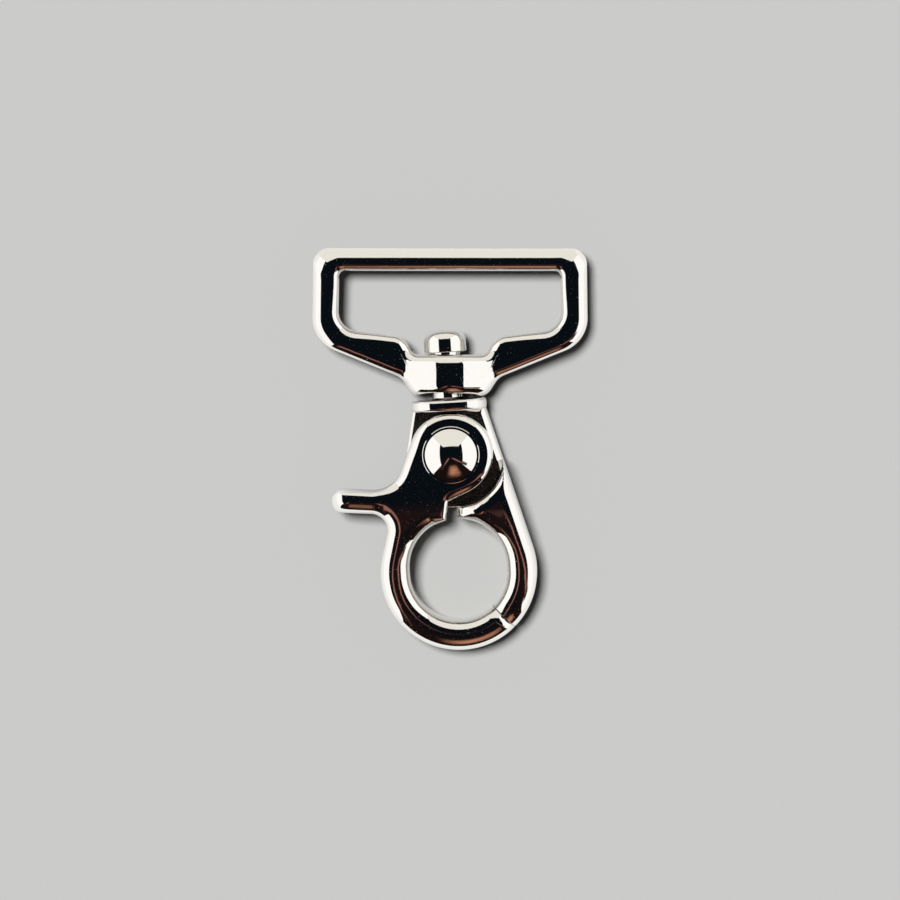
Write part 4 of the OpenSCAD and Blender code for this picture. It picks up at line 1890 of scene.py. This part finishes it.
    @staticmethod
    def round_outline(c: np.ndarray, radii: tuple[float, float, float, float]) -> np.ndarray:
        """Rounds the corners of a half outline and mirrors it into a closed one.

        Args:
            c: The corners.
            radii: The radii at the four inner corners of the list.

        Returns:
            One point a row, with the same count for any corners.
        """
        bends = [corner(c[i], c[i + 1], c[i + 2], radii[i], n) for i, n in enumerate(BEND_STEPS)]
        stops = [c[:1], *bends, c[5:]]
        half = []
        for i, n in enumerate(RUN_STEPS):
            run = np.linspace(stops[i][-1], stops[i + 1][0], n + 1)
            half += [run[:-1] if i == 0 else run[1:-1], stops[i + 1]]
        half = np.concatenate(half)
        return np.concatenate([half, mirrored(half[-2:0:-1])])

    def build(self) -> bpy.types.Object:
        """Builds the casting.

        Returns:
            The strap loop.
        """
        outer = self.round_outline(self.corners(False), self.outer_r)
        inner = self.round_outline(self.corners(True), self.inner_r)
        out_share, in_share = self.outer_share(outer), self.slot_share(inner)
        front = [(inset(outer, d * out_share[:, None]), self.edge_out.drop(d) * out_share)
                 for d in self.edge_out.depths()]
        slot = [(inset(inner, -d * in_share[:, None]), self.edge_in.drop(d) * in_share)
                for d in self.edge_in.depths()]
        shares = [(k + 1) / (self.face_rows + 1) for k in range(self.face_rows)]
        across = [(front[-1][0] * (1 - s) + slot[-1][0] * s, 0.0) for s in shares]
        section = front + across + slot[::-1]
        rows = [np.column_stack([p, self.half_thickness(p) - np.maximum(d, self.corner_drop(p))])
                for p, d in section]
        rows += [np.column_stack([p, d - self.half_thickness(p)]) for p, d in section[::-1]]
        count, faces = len(outer), []
        for k in range(len(rows)):
            faces += ring_walls(k * count, (k + 1) % len(rows) * count, count)
        loop = mesh_object("loop_casting", np.concatenate(rows), faces)
        moved(loop, Matrix.Translation((self.shift, 0, 0)))
        end, (wide, deep) = self.barrel[0] / 2, self.seat
        past = end + OVERRUN
        bore = drum("barrel bore", self.bore_r, -past, past)
        seat = turned("cone seat", np.array([
            [0, end - deep], [self.bore_r, end - deep], [wide, end], [wide, past], [0, past]]))
        along_stem = Matrix.Rotation(math.radians(90), 4, "X")
        cut(loop, moved(bore, along_stem), moved(seat, along_stem))
        return smooth(moved(loop, self.place()))

    def outer_share(self, points: np.ndarray) -> np.ndarray:
        """Gives the size of the outer rolled edge, which is smaller under the arms.

        Args:
            points: Points of the outer outline, one a row.

        Returns:
            The share of the full size at each point.
        """
        x, y = np.abs(points[:, 0]), points[:, 1]
        come, go = self.arm_spans
        under_arm = ease(*come, x) * ease(*go, x) * (y < self.heights[0])
        return 1 - (1 - self.arm_share) * under_arm

    def slot_share(self, points: np.ndarray) -> np.ndarray:
        """Gives the size of the slot's rolled edge, which is larger at the barrel and the lower corners.

        Args:
            points: Points of the slot's outline, one a row.

        Returns:
            The share of the full size at each point.
        """
        across, along = self.throat_spans
        throat = ease(*across, np.abs(points[:, 0])) * ease(*along, points[:, 1])
        middle = [self.inside[0] - self.low_in, self.heights[0] + self.low_in]
        low_corner = ease(*self.low_span, np.linalg.norm(np.abs(points) - middle, axis=1))
        return 1 + (self.throat_share - 1) * (throat + self.low_share * low_corner)

    def corner_drop(self, points: np.ndarray) -> np.ndarray:
        """Gives how far the loop's front rolls down at its top corners.

        Args:
            points: One point a row.

        Returns:
            The drop at each point.
        """
        r, width, bend = self.corner_fall
        end = math.sqrt(2) * (bend - self.outer_r[3]) + self.outer_r[3]
        place = np.column_stack([np.abs(points[:, 0]), points[:, 1]])
        rel = place - self.corners(False)[4] + bend
        low, high = self.corner_shares
        rel = np.clip(rel, 0, None) * ease(low * bend, high * bend, rel[:, ::-1])
        left = np.clip(np.linalg.norm(rel, axis=1) - end + width, 0, width)
        return roll_drop(r, left)

    def place(self) -> Matrix:
        """Gives the place of the barrel's middle in the clip, with the loop's lean.

        Returns:
            The matrix, in millimetres.
        """
        return Matrix.Translation(self.centre) @ Matrix.Rotation(math.radians(-self.lean), 4, "Z")

    def slot_plan(self) -> np.ndarray:
        """Draws the slot's outline in its place in the clip.

        Returns:
            One point a row, counter-clockwise.
        """
        inner = self.round_outline(self.corners(True), self.inner_r)
        return np.array([(self.place() @ Vector((x + self.shift, y, 0)))[:2] for x, y in inner])


# Studio


@dataclass
class Studio:
    """Light tent with a white table and sides, a cream end, a warm end and a dark top round the camera.

    Attributes:
        half_x: Distance of the side walls, in metres.
        half_y: Distance of the end walls.
        top_z: Height of the dark top.
        side_z: Height of the white sides.
        arm_z: Height of the two arms of the camera's stand.
        table_z: Height of the white table over the paper, in millimetres.
        table_gap: Width of the strip of bare paper along the slot, in millimetres.
        notch_turns: Angles on the eye's upper arc between which the notch opens.
        notch: Ends of the bare paper in the notch, in millimetres.
        swivel: Corners of the bare paper under the swivel, in millimetres.
        island: Corners of the white sheet in the eye, from the ring's middle, in millimetres.
        cream_from: Half width and start of the cream table past the strap bar, in metres.
        cream_z: Height of the cream table, in metres.
        floor_half: Half the paper's width, in metres.
        sun_tilt: Tilt of the key light to the photo's left and top, in degrees.
        sun_spread: Spread of the key light in degrees.
        sun_level: Strength of the key light.
        fill: Level of the light from all round.
        view: Point that the camera looks at, in millimetres.
        camera_tilt: Tilt of the camera's axis towards +X and +Y, in degrees.
        camera_roll: Roll that sets the leaning loop upright, in degrees.
        distance: Distance of the camera in metres.
        wide: Width of the photo's frame in millimetres.
        sensor: Width of the camera's sensor in millimetres.
        clip_start: Distance from which the camera sees, in metres.
    """

    half_x: float = 0.6
    half_y: float = 0.6
    top_z: float = 1.35
    side_z: float = 0.89
    arm_z: float = 0.5
    table_z: float = 0.05
    table_gap: float = 1.2
    notch_turns: tuple[float, float] = (84.0, 101.0)
    notch: tuple[tuple[float, float], tuple[float, float]] = ((0.6, -5.3), (-1.1, -5.3))
    swivel: tuple[tuple[float, float], tuple[float, float]] = ((-3.9, 5.3), (3.9, 8.4))
    island: tuple[tuple[float, float], tuple[float, float]] = ((-3.2, -2.0), (3.2, 2.4))
    cream_from: tuple[float, float] = (0.016, 0.026)
    cream_z: float = 6e-5
    floor_half: float = 1.0
    sun_tilt: tuple[float, float] = (11.0, 12.0)
    sun_spread: float = 16.5
    sun_level: float = 3.07
    fill: float = 0.05
    view: tuple[float, float, float] = (-0.175, 0.423, 3.3)
    camera_tilt: tuple[float, float] = (2.0, 3.0)
    camera_roll: float = 3.483
    distance: float = 0.5
    wide: float = 105.9
    sensor: float = 36.0
    clip_start: float = 0.01

    @staticmethod
    def hang(finish: Panel, points: list, faces: list) -> None:
        """Hangs one panel, which the camera doesn't see and which casts no shadow.

        Args:
            finish: The panel's finish.
            points: Its points, in metres.
            faces: Its faces.
        """
        mesh = bpy.data.meshes.new(finish.name)
        mesh.from_pydata(points, [], faces)
        mesh.materials.append(finish.material())
        obj = bpy.data.objects.new(finish.name, mesh)
        bpy.context.scene.collection.objects.link(obj)
        obj.visible_camera = False
        obj.visible_diffuse = False
        obj.visible_shadow = False

    def panel(self, finish: Panel, low: tuple, across: tuple, up: tuple) -> None:
        """Hangs a panel with four corners.

        Args:
            finish: The panel's finish.
            low: One corner, in metres.
            across: The side from that corner.
            up: The other side.
        """
        a, b, c = Vector(low), Vector(across), Vector(up)
        self.hang(finish, [a, a + b, a + b + c, a + c], [[0, 1, 2, 3]])

    def table(self) -> None:
        """Lays the white table, with the paper bare in the eye, along the slot and under the swivel."""
        p, far = JAWS, (self.half_x / MM, self.half_y / MM)
        start, end = self.notch_turns
        eye = np.concatenate([
            arc(p.eye_top(), p.eye_r, 0, start), self.notch, arc(p.eye_top(), p.eye_r, end, 180),
            arc(p.eye_low(), p.eye_r, 180, 360)])
        slot = StrapLoop().slot_plan()
        sheet = box((-far[0], -far[1]), far)
        sheets = ([sheet, eye, slot, box(*self.swivel)], [inset(slot, self.table_gap)],
                  [p.ring_c + box(*self.island)])
        for loops in sheets:
            lines = [[Vector((x, y, self.table_z)) * MM for x, y in loop] for loop in loops]
            self.hang(WHITE_TABLE, [v for line in lines for v in line], tessellate_polygon(lines))

    def tent(self) -> None:
        """Hangs the tent's panels."""
        x, y, top, side = self.half_x, self.half_y, self.top_z, self.side_z
        for s in (-1, 1):
            self.panel(WHITE_SIDE, (s * x, -y, 0), (0, 2 * y, 0), (0, 0, side))
            self.panel(DARK_TOP, (s * x, -y, side), (0, 2 * y, 0), (0, 0, top - side))
        self.table()
        (near_x, near_y), z = self.cream_from, self.cream_z
        cream = [(-near_x, near_y, z), (near_x, near_y, z), (x, y, z), (-x, y, z)]
        self.hang(CREAM_TABLE, cream, [[0, 1, 2, 3]])
        self.panel(CREAM_END, (-x, y, 0), (2 * x, 0, 0), (0, 0, top))
        self.panel(DARK_TOP, (-x, -y, top), (2 * x, 0, 0), (0, 2 * y, 0))
        self.panel(WARM_END, (-x, -y, 0), (2 * x, 0, 0), (0, 0, top))
        self.panel(CAMERA_STAND, (-x, -y, self.arm_z), (2 * x, 0, 0), (0, y, 0))

    def floor(self) -> None:
        """Lays the paper under the clip."""
        mesh = bpy.data.meshes.new("paper")
        half = self.floor_half
        mesh.from_pydata([(x, y, 0) for x, y in box((-half, -half), (half, half))], [], [[0, 1, 2, 3]])
        mesh.materials.append(Paper().material())
        obj = bpy.data.objects.new("paper", mesh)
        bpy.context.scene.collection.objects.link(obj)

    def key_light(self) -> None:
        """Hangs the key light, which the metal doesn't mirror."""
        lamp = bpy.data.lights.new("key", "SUN")
        lamp.energy = self.sun_level
        lamp.angle = math.radians(self.sun_spread)
        obj = bpy.data.objects.new("key", lamp)
        obj.visible_glossy = False
        roll = Matrix.Rotation(math.radians(-self.camera_roll), 3, "Z")
        tilt_x, tilt_y = (math.tan(math.radians(t)) for t in self.sun_tilt)
        toward = roll @ Vector((-tilt_x, tilt_y, 1))
        obj.rotation_euler = toward.to_track_quat("Z", "Y").to_euler()
        bpy.context.scene.collection.objects.link(obj)

    def backdrop(self) -> None:
        """Sets the pale backdrop, and the fill light from all round."""
        world = bpy.data.worlds.new("backdrop")
        world.use_nodes = True
        bpy.context.scene.world = world
        tree = world.node_tree
        tree.nodes.clear()
        rays = add_node(tree, "ShaderNodeLightPath").outputs
        seen = maths(tree, "MAXIMUM", rays["Is Camera Ray"], rays["Is Glossy Ray"])
        shown = maths(tree, "MAXIMUM", seen, rays["Is Transmission Ray"])
        light = add_node(tree, "ShaderNodeBackground", {
            "Color": blend(tree, shown, "#FFFFFF", PALE),
            "Strength": ramp(tree, shown, (0.0, 1.0), (self.fill, 1.0))})
        add_node(tree, "ShaderNodeOutputWorld", {"Surface": light.outputs["Background"]})

    def camera(self) -> None:
        """Sets the camera over the clip, rolled as in the photo."""
        data = bpy.data.cameras.new("camera")
        data.sensor_width = self.sensor
        data.lens = self.sensor * self.distance / (self.wide * MM)
        data.clip_start = self.clip_start
        tilt_x, tilt_y = (math.tan(math.radians(t)) for t in self.camera_tilt)
        back = Vector((tilt_x, tilt_y, 1)).normalized()
        roll = math.radians(self.camera_roll)
        right = Vector((math.sin(roll), math.cos(roll), 0)).cross(back).normalized()
        up = back.cross(right)
        place = Matrix((right, up, back)).transposed().to_4x4()
        place.translation = Vector(self.view) * MM + back * self.distance
        obj = bpy.data.objects.new("camera", data)
        obj.matrix_world = place
        bpy.context.scene.collection.objects.link(obj)
        bpy.context.scene.camera = obj

    def build(self) -> None:
        """Sets up floor, light, backdrop and camera."""
        self.floor()
        self.tent()
        self.key_light()
        self.backdrop()
        self.camera()
        bpy.context.scene.view_settings.view_transform = "Standard"


def main() -> None:
    """Builds and dresses the pieces in order, and then the studio."""
    logging.basicConfig(level=logging.INFO, format="%(name)s: %(message)s")
    casting = CASTING_PLATE.material()
    # Finish of the sunk plate face: matt skin, dark as painted shade
    skin = CASTING_SKIN_AND_PAINTED_SHADE.material()
    rivet = RIVET_PLATE.material()
    wire = DrawnWire().material()
    dress(HookBody().build(), [casting, skin], Body.HOOK, "hook_body")
    dress(ThumbLever().build(), [casting], Body.LEVER, "thumb_lever")
    dress(PivotRivet().build(), [rivet], Body.HOOK, "pivot_rivet")
    dress(TorsionSpring().build(wire), [wire], Body.HOOK, "torsion_spring")
    dress(StrapLoop().build(), [casting], Body.LOOP, "strap_loop")
    Studio().build()


if __name__ == "__main__":
    main()
